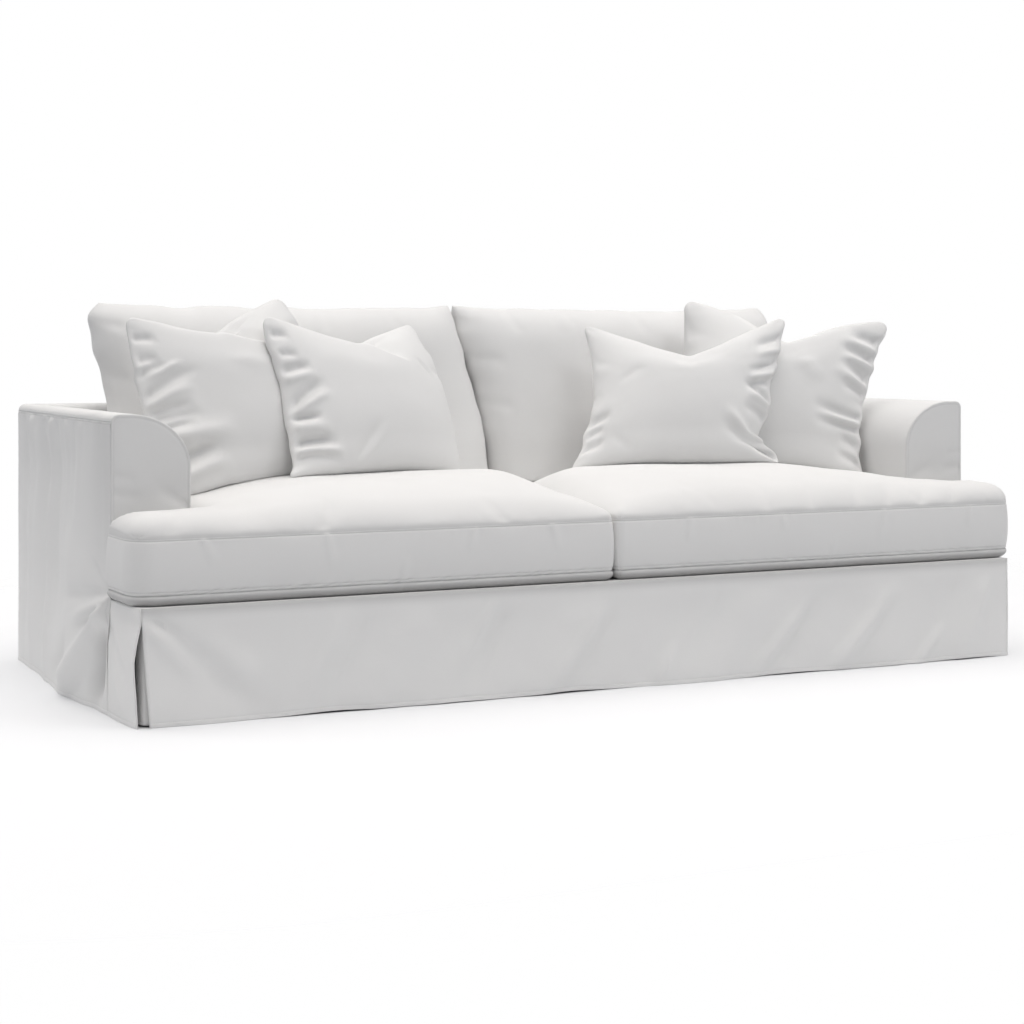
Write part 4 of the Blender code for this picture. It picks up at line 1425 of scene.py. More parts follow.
@dataclass
class OutsideBack(Body):
    """Outside back panel, from the floor to the top seam and half way round both corners."""

    step: float = 0.011

    def build(self) -> bpy.types.Object:
        """Make the panel with its gathers, its long folds and its hem."""
        turn = np.radians(np.linspace(47.0, 83.0, 7))
        corner_x = HALF_REAR - ROUND + ROUND * np.cos(turn)
        corner_y = DEPTH - ROUND + ROUND * np.sin(turn)
        flat = np.linspace(HALF_REAR - ROUND, -(HALF_REAR - ROUND), int(2 * HALF_REAR / self.step))
        x = np.concatenate([corner_x, flat, -corner_x[::-1]])
        y = np.concatenate([corner_y, np.full_like(flat, DEPTH), corner_y[::-1]])
        up = stations(0.0, SEWN_TOP, 0.010, seams=(HEM, SEWN_TOP))
        across, high = x[None, :], up[:, None]
        under = SEWN_TOP - high
        calm = ((1 - soft_step((np.abs(x) - HALF_REAR + 0.16) / 0.12)) * 0.8)[None, :]
        top_calm = 1 - soft_step((high - SEAM + 0.12) / 0.10)
        _, lift = hem_waves(BACK_HEM, x)
        broad = (broad_folds(BACK_FOLDS, across, high) - BACK_SUNK) * calm * top_calm
        fine = relief(BACK_CREASES, across, high) * calm * soft_step(under / 0.02)
        fine = fine + 0.0010 * puckers(across, under, 81, 0.016, 0.060)
        fine = fine + 0.0007 * lumps(across, high, 0.09, 84) * calm * top_calm
        sewn = seam_dips(under, (0.0012, 0.0016), (0.0007, 0.0011)) + hem_dip(high) + 0 * across
        z = high + lift[None, :] * calm * (1 - high / SEAM)
        grid = points_of(x, y + broad + fine + sewn, z)
        panel = Panel("outside_back", grid, shade_of(sewn))
        self.stitching.add(panel.row(nearest(up, HEM), 1, -1))
        self.stitching.add(panel.row(nearest(up, SEWN_TOP - NEEDLE), 1, -1))
        return self.finish(panel, (2.370, 0.660), Held.HUNG)


@dataclass
class InsideBack(Body):
    """Inside back and back top in one piece, shaped over the arms at its ends."""

    step: float = 0.013

    def build(self) -> bpy.types.Object:
        """Make the panel: up behind the cushions, over the soft edge and back to the top seam."""
        level = ARM_INSIDE + ARCH_WIDE * (1 - math.sqrt(1 - (1 - ROUND / ARCH_HIGH) ** 2))
        level = 2 * ARM_INSIDE + ARCH_WIDE - level
        level_cells, foot_rows = 8, 20
        level_ends = np.linspace(BACK_TOP_END, level, level_cells + 1)
        ends = np.concatenate([level_ends, np.linspace(level, ARM_INSIDE, 15)[1:]])
        middle = np.linspace(ARM_INSIDE, -ARM_INSIDE, int(2 * ARM_INSIDE / self.step))[1:-1]
        x = np.concatenate([-ends, middle[::-1], ends[::-1]])
        over_arm = np.abs(x) > ARM_INSIDE - 1e-6
        sill = np.where(over_arm, arch(np.abs(x)) + GAP, TOP - ARCH_HIGH)
        sill = np.minimum(sill, TOP - 2 * GAP)
        foot = DECK + GAP
        low = [foot + s * (TOP - ARCH_HIGH - foot) for s in np.linspace(0.0, 0.97, foot_rows)]
        shares = (0.0, 0.14, 0.28, 0.42, 0.56, 0.70, 0.85)
        low += [sill + np.maximum(SEAM - sill, 0) * share for share in shares]
        rows = [points_of(x, BACK_FACE, z) for z in low]
        first = np.arcsin(np.clip((sill - SEAM) / ROUND, 0.0, 1.0))
        for share in np.linspace(0.0, 1.0, 8):
            angle = first + (math.pi / 2 - first) * share
            y = BACK_FACE + ROUND * (1 - np.cos(angle))
            rows.append(points_of(x, y, SEAM + ROUND * np.sin(angle)))
        for depth in np.linspace(BACK_FACE + ROUND, DEPTH - ROUND, 11)[1:-1]:
            rows.append(points_of(x, depth, TOP))
        for angle in np.radians(np.linspace(90.0, 0.0, 9)):
            y = DEPTH - ROUND + ROUND * math.cos(angle)
            z = SEAM + GAP + (ROUND - GAP) * math.sin(angle)
            rows.append(points_of(x, y, z))
        grid = np.array(rows)
        across, up = x[None, :], run_along(grid[:, len(x) // 2])[:, None]
        seam = up[-1] - up
        calm = soft_step(seam / 0.03) * soft_step(up / 0.30)
        side_calm = 1 - soft_step((np.abs(across) - ARM_INSIDE + 0.05) / 0.04)
        fine = 0.0009 * lumps(across, up, 0.08, 91) * (calm * side_calm)
        fine = fine + 0.0006 * puckers(across, seam, 94, 0.016, 0.020) * side_calm
        sewn = -0.0006 * bump(seam, 0.0016) + 0 * across
        grid = raised(grid, fine + sewn)
        keep = np.ones((len(rows) - 1, len(x) - 1), bool)
        sills = slice(foot_rows, foot_rows + len(shares))
        for cut_rows, cut in ((slice(None, foot_rows), len(ends) - 1), (sills, level_cells)):
            keep[cut_rows, :cut] = keep[cut_rows, -cut:] = False
        panel = Panel("inside_back", grid, shade_of(sewn), keep)
        return self.finish(panel, (2.260, 0.560), Held.STRETCHED)


@dataclass
class SeatDeck(Body):
    """Seat deck: one flat panel under the cushions, with an ear in front of each arm."""

    quilted: float = 0.0008  # how deep the springs' hollows are

    def build(self) -> bpy.types.Object:
        """Make the deck with the faint quilting of cloth laid over a spring edge."""
        ear = HALF_SKIRT - CLOTH - GAP
        body = ARM_INSIDE + CLOTH
        ear_rows, ear_columns = 11, 8
        side_x = np.linspace(body, ear, ear_columns + 1)
        x = np.concatenate([-side_x[::-1], np.linspace(-body, body, 92)[1:-1], side_x])
        front = np.linspace(CLOTH + GAP, ARM_FRONT, ear_rows + 1)
        y = np.concatenate([front, np.linspace(ARM_FRONT, BACK_FACE + CLOTH, 44)[1:]])
        across, back = x[None, :], y[:, None]
        edge = np.minimum(body - np.abs(across), np.minimum(back - 0.004, BACK_FACE - back))
        dips = -self.quilted * (0.5 + 0.5 * lumps(across, back, 0.12, 97))
        dips = dips * soft_step(edge / 0.05)
        grid = points_of(across, back, DECK + dips)
        keep = np.ones((len(y) - 1, len(x) - 1), bool)
        keep[ear_rows:, :ear_columns] = keep[ear_rows:, -ear_columns:] = False
        # Painted shade: the springs' hollows are darkened a little.
        panel = Panel("seat_deck", grid, shade_of(dips * 0.3), keep)
        return self.finish(panel, (2.342, 0.970), Held.STRETCHED, area=2.02)


# ------------------------------------------------------------------------------
# Filled covers


def spread(count: int, crowd: float = 0.55) -> Grid:
    """Places from -1 to 1, closer together towards both ends."""
    t = np.linspace(-1.0, 1.0, count)
    return (1 - crowd) * t + crowd * np.sin(t * math.pi / 2)


class Filled(NamedTuple):
    """A closed cover: points, faces, the texture place of each face's corner, and painted shade.
    """

    points: Grid
    faces: list[tuple[int, ...]]
    corners: Grid
    shade: Grid


def cell_corners(values: Grid) -> Grid:
    """What a grid holds at the four corners of each of its cells, in order round the cell."""
    return np.stack([values[:-1, :-1], values[:-1, 1:], values[1:, 1:], values[1:, :-1]], axis=2)


def two_faced(front: Grid, back: Grid) -> Filled:
    """Join a front and a back grid along their outermost points.

    Args:
        front: points of the side that is seen.
        back: points of the other side, whose rim both of them get.

    Returns:
        The closed cover, without painted shade.
    """
    rows, columns = front.shape[:2]
    number = np.arange(rows * columns).reshape(rows, columns)
    behind = number.copy()
    inner = (rows - 2) * (columns - 2)
    behind[1:-1, 1:-1] = rows * columns + np.arange(inner).reshape(rows - 2, columns - 2)
    rim = behind < rows * columns
    front[rim] = back[rim]
    points = np.concatenate([front.reshape(-1, 3), back[1:-1, 1:-1].reshape(-1, 3)])
    uv = cell_corners(texture_places(front))
    away_uv = uv[:, :, ::-1] + np.array([4.0, 0.0])
    quads = np.concatenate([cell_corners(number), cell_corners(behind)[:, :, ::-1]])
    faces = [tuple(face) for face in quads.reshape(-1, 4).tolist()]
    corners = np.concatenate([uv.reshape(-1, 2), away_uv.reshape(-1, 2)])
    return Filled(points, faces, corners, np.zeros(len(points)))


@dataclass
class Cover:
    """What the filled covers share: the cloths and the name of the finish."""

    cloths: Cloths
    slot: str

    def finish(self, name: str, cover: Filled, fill: float) -> bpy.types.Object:
        """Args:
            name: the node that it takes the place of.
            cover: its points and faces.
            fill: how full it is, from 0 to 1. Not used.

        Returns:
            The piece.
        """
        layer = Layer(cover.corners, cover.shade, by_corner=True)
        piece = add_mesh(name + "_cover", cover.points, cover.faces, layer)
        self.cloths.dress(piece, self.slot)
        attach(piece, "root")
        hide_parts(name)
        LOG.info("%s: %d faces", piece.name, len(piece.data.polygons))
        return piece


SEAT_TOP_CREASES = {
    Side.LEFT: creases(
        (760, 16, 700, 130, 16, -4.2, 1.8, 4, 1),
        (1100, 20, 1060, 110, 14, -3.6, 1.7, 0, 1),
        (300, 16, 330, 110, 16, -3.4, 1.7, 0, 1),
        (520, 240, 300, 300, 40, 4.2, 1.2, 10),
        (700, 330, 520, 420, 35, -4.2, 1.2, 8),
    ),
    Side.RIGHT: creases(
        (430, 16, 450, 150, 16, -3.6, 1.8, 0, 1),
        (560, 16, 600, 130, 14, -3.6, 1.8, 4, 1),
        (700, 16, 760, 150, 14, -4.2, 1.8, 4, 1),
        (800, 16, 850, 130, 13, -3.6, 1.7, 4, 1),
        (900, 16, 960, 120, 13, -3.4, 1.7, 0, 1),
        (1000, 16, 1050, 110, 13, -3.4, 1.7, 0, 1),
        (200, 260, 480, 330, 45, 4.2, 1.2, 10),
    ),
}
SEAT_SIDE_CREASES = {
    Side.LEFT: creases(
        (1030, 398, 1000, 340, 7, 3, 1.5, 0, 1),
        (742, 399, 725, 312, 8, 3, 1.5, 0, 1),
        (376, 399, 392, 340, 7, 2.5, 1.5, 0, 1),
        (172, 399, 156, 326, 8, 2.8, 1.5, 0, 1),
        (560, 284, 545, 340, 8, 2.2, 1.5, 0, 1),
    ),
    Side.RIGHT: creases(
        (206, 399, 196, 336, 8, 3, 1.5, 0, 1),
        (784, 399, 767, 310, 9, 3, 1.5, 0, 1),
        (470, 399, 484, 350, 8, 2.2, 1.5, 0, 1),
        (1060, 399, 1050, 340, 8, 2.2, 1.5, 0, 1),
        (620, 284, 634, 340, 8, 2.2, 1.5, 0, 1),
    ),
}


@dataclass
class SeatCushion(Cover):
    """Boxed seat cushion: flat under, seams round its top and bottom, a crowned top and an ear."""

    side: Side
    stitching: Stitching
    front: float = 0.014
    rear: float = 0.960
    inner: float = 0.005
    outer: float = 0.989
    ear_left: float = 1.188  # where the left cushion's ear ends
    ear_right: float = 1.212
    ear_rear: float = 0.190
    corner: float = 0.058  # radius of the ear's front corner
    small_corner: float = 0.020
    bottom: float = DECK + REST_GAP
    lower_seam: float = 0.2785
    upper_seam: float = 0.401
    shoulder: float = 0.035  # the top's steep rounding beside its seam: how high and how wide
    shoulder_wide: float = 0.066
    ear_plump: float = 0.012  # how much steeper the ear's end is
    crown: float = 0.066  # how much higher the top's middle is
    crown_reach: float = 0.28  # over what distance it rises to that, from the front
    inner_reach: float = 0.34  # from the middle of the sofa
    arm_reach: float = 0.36  # from the arm
    ear_reach: float = 0.36  # and from the ear's end
    squeezed: float = 0.15  # share of the crown that is left beside the arm
    needle: float = 0.0046
    rope: float = 0.0080  # from the lower seam up to the stitched line over it
    groove: Point2 = (0.0019, 0.0013)  # how deep and how wide the upper seam's groove is
    line: Point2 = (0.0014, 0.0012)  # and the dips of the lines beside it
    lower_groove: Point2 = (0.0024, 0.0017)  # and the same at the lower seam
    lower_line: Point2 = (0.0010, 0.0013)
    rope_slant: float = 3.4  # how far the lower seam's small folds lean along it
    belly: float = 0.006  # how far the boxing bulges
    roll_out: float = 0.0045  # how far the roll under the lower seam stands out
    roll_in: float = 0.013  # and how far its foot goes in
    roll_painted_shade: float = 2.0  # painted shade of the roll's underside
    foot_painted_shade: float = 0.5  # and painted shade of the boxing, growing towards its foot
    pressed: float = 0.440  # height of the top under the back cushion
    pressed_from: float = 0.440  # where the top starts to sink to it, and where it has
    pressed_to: float = 0.660
    step: float = 0.0085
    fine_step: float = 0.0050

    def __post_init__(self) -> None:
        """Work out where the ear ends on this side."""
        self.ear_outer = self.ear_left if self.side is Side.LEFT else self.ear_right

    def rim_gap(self, x: Grid, y: Grid) -> Grid:
        """How far each place of the top is from the rim, measured round its corners.

        Args:
            x: places outwards from the middle.
            y: places backwards.

        Returns:
            The distances, 0 past the rim.
        """
        gap = np.full(np.broadcast(x, y).shape, 1.0)
        for a, b, radius in (
            (x - self.inner, y - self.front, self.small_corner),
            (x - self.inner, self.rear - y, self.small_corner),
            (self.ear_outer - x, y - self.front, self.corner),
        ):
            past = np.hypot(np.maximum(radius - a, 0), np.maximum(radius - b, 0))
            in_corner = (a < radius) & (b < radius)
            gap = np.minimum(gap, np.where(in_corner, radius - past, np.minimum(a, b)))
        a, b = self.outer - x, self.ear_rear - y
        notch = np.where((a > 0) & (b > 0), np.hypot(a, b), np.maximum(a, b))
        return np.maximum(np.minimum(gap, notch), 0.0)

    def height(self, x: Grid, y: Grid) -> Grid:
        """Height of the cushion's top, x measured outwards from the middle.

        Args:
            x: places outwards from the middle.
            y: places backwards.

        Returns:
            The heights.
        """
        steep = 1 - np.clip(self.rim_gap(x, y) / self.shoulder_wide, 0.0, 1.0)
        plump = self.shoulder + self.ear_plump * soft_step((x - self.outer + 0.10) / 0.16)
        shoulder = plump * np.sqrt(1 - steep**2)
        inner_reach = self.inner_reach - 0.19 * soft_step((y - 0.15) / 0.28)
        inner = swelling(x - self.inner, inner_reach, 2.3)
        front = swelling(y - self.front, self.crown_reach, 2.3)
        rear = swelling(self.rear - y, 0.10)
        by_arm = swelling(self.outer - x, self.arm_reach, 1.7)
        by_arm = self.squeezed + (1 - self.squeezed) * by_arm
        in_ear = soft_step((self.ear_outer - 0.10 - x) / self.ear_reach)
        in_ear = self.squeezed + (1 - self.squeezed) * in_ear
        wide = in_ear + (by_arm - in_ear) * soft_step((y - self.ear_rear + 0.05) / 0.12)
        height = self.upper_seam + shoulder + self.crown * inner * front * rear * wide
        sunk = soft_step((y - self.pressed_from) / (self.pressed_to - self.pressed_from))
        return height + (np.minimum(height, self.pressed) - height) * sunk

    def rounded_plan(self, x: Grid, y: Grid) -> tuple[Grid, Grid]:
        """Round the plan's outer corners, and its places near them, on to arcs.

        Args:
            x: places outwards from the middle.
            y: places backwards.

        Returns:
            The moved places.
        """
        corners = (
            (self.ear_outer, self.front, 1.0, -1.0, self.corner),
            (self.inner, self.front, -1.0, -1.0, self.small_corner),
            (self.inner, self.rear, -1.0, 1.0, self.small_corner),
            (self.outer, self.rear, 1.0, 1.0, self.small_corner),
        )
        for corner_x, corner_y, sign_x, sign_y, radius in corners:
            centre_x, centre_y = corner_x - sign_x * radius, corner_y - sign_y * radius
            a = np.clip((x - centre_x) * sign_x / radius, 0.0, 1.0)
            b = np.clip((y - centre_y) * sign_y / radius, 0.0, 1.0)
            inside = (a > 0) & (b > 0)
            near_x = centre_x + sign_x * radius * a * np.sqrt(1 - b**2 / 2)
            near_y = centre_y + sign_y * radius * b * np.sqrt(1 - a**2 / 2)
            x, y = np.where(inside, near_x, x), np.where(inside, near_y, y)
        return x, y

    def edge_places(self) -> tuple[Grid, Grid]:
        """The grid's places across and back, closer together over the rounding beside the rim."""
        turn = np.radians((6.6, 13.0, 20.0, 28.0, 37.0, 47.0, 58.0, 70.0, 81.0))
        rim = self.shoulder_wide * (1 - np.cos(turn))
        x = [self.inner, self.outer, self.ear_outer, *(self.inner + rim), *(self.ear_outer - rim)]
        x += list(self.outer - rim[1::2])
        y = [self.front, self.rear, self.ear_rear]
        y += [*(self.front + rim), *(self.ear_rear - rim[1::2])]
        wide = self.shoulder_wide
        for values, low, high, cut, step in (
            (x, self.inner + wide, self.ear_outer - wide, self.outer, self.fine_step),
            (y, self.front + wide, self.rear - 0.003, self.ear_rear, self.step),
        ):
            for value in np.linspace(low, high, int((high - low) / step)):
                if min(abs(value - near) for near in [cut, *(cut - rim[1::2])]) > step * 0.4:
                    values.append(value)
        return np.array(sorted(x)), np.array(sorted(y))

    def top_relief(self, x: Grid, y: Grid, rise: Grid) -> Grid:
        """Folds of the top: what the seams draw in, broad creases and the filling's unevenness.

        Args:
            x: places outwards from the middle.
            y: places backwards.
            rise: how high over the seam the rounding is there.

        Returns:
            How far they lift the top.
        """
        seed = self.side.seed(110, 10)
        front, ear = y - self.front + rise, self.ear_outer - x + rise
        inner, arm = x - self.inner + rise, np.where(y > self.ear_rear, self.outer - x, 1.0)
        calm = soft_step(front / 0.05) * soft_step(inner / 0.05) * soft_step(ear / 0.05)
        sunk = 1 - soft_step((y - self.pressed_from + 0.1) / 0.2)
        fold = 0.0010 * puckers(x, front, seed, 0.012, 0.022, 0.3)
        reach = 0.070 + 0.030 * wander(x, 0.2, seed + 9)
        drawn = 0.0022 * puckers(x, front, seed + 1, 0.034, reach, 0.5)
        fold = fold + drawn * soft_step(front / 0.012)
        fold = fold + 0.0012 * puckers(y, ear, seed + 2, 0.016, 0.026) * soft_step(front / 0.03)
        fold = fold + 0.0012 * puckers(y, inner, seed + 3, 0.020, 0.030) * soft_step(front / 0.03)
        fold = fold + 0.0014 * puckers(y, np.maximum(arm, 0), seed + 4, 0.022, 0.040)
        placed = relief(SEAT_TOP_CREASES[self.side], x, front + self.front)
        fold = fold + placed * soft_step(front / 0.006)
        fold = fold + 0.0026 * lumps(x, y, 0.16, seed + 5) * calm
        fold = fold + 0.0007 * lumps(x, y, 0.06, seed + 6) * calm
        return fold * (0.35 + 0.65 * sunk)

    def side_profile(self) -> list[tuple[float, float]]:
        """Places down the boxing, from under the top seam to the deck: outward offset, height."""
        deep = self.upper_seam - self.lower_seam
        drops = [0.0014, 0.0026, 0.0037, self.needle, 0.0056, 0.0070, 0.0100]
        drops += list(np.linspace(0.016, deep - 0.016, 12))
        over = (0.0115, 0.0094, self.rope, 0.0066, 0.0050, 0.0034, 0.0018, 0.0)
        drops += [deep - drop for drop in over]
        profile = []
        for drop in drops:
            out = self.belly * (1 - (2 * drop / deep - 1) ** 2) ** 0.85
            profile.append((out, self.upper_seam - drop))
        roll = self.lower_seam - self.bottom
        for share in (0.06, 0.13, 0.22, 0.34, 0.48, 0.62, 0.76, 0.88, 1.0):
            out = self.roll_out * math.sin(math.pi * min(1.0, share * 0.90)) ** 0.8
            profile.append((out - self.roll_in * share**2, self.lower_seam - roll * share))
        return profile

    def build(self) -> bpy.types.Object:
        """Make the cushion: its top, its boxing, the roll under it and its flat bottom."""
        x_places, y_places = self.edge_places()
        rows, columns = len(y_places), len(x_places)
        ear_row, ear_column = nearest(y_places, self.ear_rear), nearest(x_places, self.outer)
        keep = np.ones((rows - 1, columns - 1), bool)
        keep[ear_row:, ear_column:] = False
        x, y = np.broadcast_arrays(x_places[None, :], y_places[:, None])
        x, y = self.rounded_plan(x, y)
        grid = points_of(x, y, self.height(x, y))
        steep = 1 - np.clip(self.rim_gap(x, y) / self.shoulder_wide, 0.0, 1.0)
        rise = self.shoulder * np.sqrt(1 - steep**2)
        sewn = seam_dips(rise, self.groove, self.line, self.needle)
        grid = raised(grid, self.top_relief(x, y, rise) * soft_step(rise / 0.012) + sewn)
        self.stitching.add(self.top_line(grid, x_places, y_places))
        top = grid_faces(rows, columns, keep)
        loop = self.rim(top)
        grid = grid.reshape(-1, 3)
        grid[loop, 0], grid[loop, 1] = x.ravel()[loop], y.ravel()[loop]
        grid[loop, 2] = self.upper_seam
        return self.close(grid, top, loop, shade_of(sewn).ravel())

    def top_line(self, grid: Grid, x_places: Grid, y_places: Grid) -> tuple[Grid, Grid]:
        """Points and normals of the stitched line on the top, beside the seam, round its front.

        Args:
            grid: the top's points.
            x_places: the grid's places outwards.
            y_places: its places backwards.

        Returns:
            The line's points and normals.
        """
        first, last = 1, len(x_places) - 2
        inner_rows = range(nearest(y_places, self.rear - 0.06), first, -1)
        ear_rows = range(first + 1, nearest(y_places, self.ear_rear - 0.004))
        cells = [(r, first) for r in inner_rows] + [(first, c) for c in range(first, last + 1)]
        cells += [(r, last) for r in ear_rows]
        return line_of(grid, cells)

    def rim(self, faces: list[tuple[int, ...]]) -> list[int]:
        """Points round the outside of a patch of quads, in order.

        Args:
            faces: point numbers of each quad.

        Returns:
            The numbers of the points on its rim.
        """
        sides = {(face[i], face[(i + 1) % 4]) for face in faces for i in range(4)}
        following = {a: b for a, b in sides if (b, a) not in sides}
        loop = [min(following)]
        while following[loop[-1]] != loop[0]:
            loop.append(following[loop[-1]])
        return loop

    def close(self, grid: Grid, top: list, loop: list[int], dips: Grid) -> bpy.types.Object:
        """Add the boxing, the roll and the bottom to the top's faces.

        Args:
            grid: the top's points.
            top: its faces.
            loop: its rim.
            dips: the painted shade of each of the top's points, darkest in its seams.

        Returns:
            The piece.
        """
        rim = grid[loop, :2]
        count = len(loop)
        ahead = np.roll(rim, -1, axis=0) - np.roll(rim, 1, axis=0)
        for _ in range(3):
            ahead = (np.roll(ahead, 1, axis=0) + 2 * ahead + np.roll(ahead, -1, axis=0)) / 4
        outward = np.column_stack([ahead[:, 1], -ahead[:, 0]])
        outward /= np.linalg.norm(outward, axis=1)[:, None]
        reach = run_along(np.concatenate([rim, rim[:1]]))
        run = reach[:-1]
        seed = self.side.seed(130, 10)
        in_front = (outward[:, 1] < -0.7).astype(float)
        points, shades, numbers = [grid], [dips], [np.array(loop)]
        start, deep = len(grid), self.upper_seam - self.lower_seam
        for out, height in self.side_profile():
            above, below = self.upper_seam - height, height - self.lower_seam
            fold = 0.0008 * puckers(run, above, seed, 0.012, 0.018)
            rope = soft_step((below + 0.002) / 0.003) * (1 - soft_step((below - 0.009) / 0.006))
            fold = fold + 0.0013 * rope * wander(run + self.rope_slant * below, 0.0105, seed + 3)
            drawn = 0.0011 * puckers(run, np.abs(below), seed + 4, 0.024, 0.030, 0.8)
            fold = fold + (drawn if below > 0 else 0.0)
            fold = fold + 0.0016 * lumps(run, height, 0.090, seed + 5) * soft_step(above / 0.02)
            sides = relief(SEAT_SIDE_CREASES[self.side], rim[:, 0], height)
            fold = fold + sides * in_front * soft_step(above / 0.006)
            sewn = seam_dips(above, self.groove, self.line, self.needle)
            sewn = sewn + seam_dips(below, self.lower_groove, self.lower_line, self.rope)
            shift = (out + fold + sewn)[:, None] * outward
            numbers.append(np.arange(start, start + count))
            points.append(np.column_stack([rim + shift, np.full(count, height)]))
            # Painted shade: the roll's underside and the boxing's lower part are darkened, beside
            # the seams' painted shade.
            under = soft_step((self.lower_seam + 0.001 - height) / 0.013)
            foot = np.clip(above / deep, 0.0, 1.0) ** 1.6
            tone_and_painted_shade = shade_of(sewn) + self.roll_painted_shade * under + self.foot_painted_shade * foot
            shades.append(np.full(count, tone_and_painted_shade))
            if round(above, 4) in (round(self.needle, 4), round(deep - self.rope, 4)):
                path, normals = points[-1], np.column_stack([outward, np.zeros(count)])
                closed = np.vstack([path, path[:1]]), np.vstack([normals, normals[:1]])
                self.stitching.add(closed)
            start += count
        faces = list(top)
        corners = [grid[np.array(top).ravel(), :2]]
        flat_points = np.concatenate(points)
        following = np.roll(np.arange(count), -1)
        along = np.stack([reach[1:], run, run, reach[1:]], axis=-1) + 2.0
        for upper, lower in zip(numbers, numbers[1:]):
            quads = np.stack([upper[following], upper, lower, lower[following]], axis=-1)
            faces += [tuple(face) for face in quads.tolist()]
            corners.append(np.stack([along, flat_points[quads, 2]], axis=-1).reshape(-1, 2))
        faces.append(tuple(numbers[-1][::-1].tolist()))
        corners.append(flat_points[numbers[-1][::-1], :2])
        uv = np.concatenate(corners)
        if self.side is Side.LEFT:
            flat_points = flat_points * LEFTWARDS
            sizes = [len(face) for face in faces]
            starts = np.cumsum(sizes) - sizes
            order = np.concatenate([np.arange(n)[::-1] + at for at, n in zip(starts, sizes)])
            faces = [face[::-1] for face in faces]
            uv = uv[order]
        cover = Filled(flat_points, faces, uv, np.concatenate(shades))
        return self.finish("seat_cushion_" + self.side.value, cover, fill=0.85)


BACK_CUSHION_CREASES = {
    Side.LEFT: creases(
        (990, 600, 900, 590, 10, -5, 1.6, 0, 1),
        (990, 520, 920, 500, 10, 4, 1.6, 0, 1),
        (990, 440, 900, 420, 12, -5, 1.6, 0, 1),
        (990, 300, 930, 280, 12, -4, 1.6, 0, 1),
        (400, 470, 420, 380, 12, 3, 1.6, 0, 1),
        (200, 470, 180, 400, 12, -2.4, 1.6, 0, 1),
    ),
    Side.RIGHT: creases(
        (20, 340, 100, 330, 14, -4, 1.6, 0, 1),
        (20, 220, 90, 200, 14, -4, 1.6, 0, 1),
        (140, 480, 150, 400, 14, -3.6, 1.6, 0, 1),
        (300, 480, 290, 410, 13, 3, 1.6, 0, 1),
        (520, 480, 540, 400, 14, -3.6, 1.6, 0, 1),
        (700, 480, 700, 410, 13, 2.8, 1.6, 0, 1),
        (990, 500, 920, 460, 12, -5, 1.6, 0, 1),
    ),
}


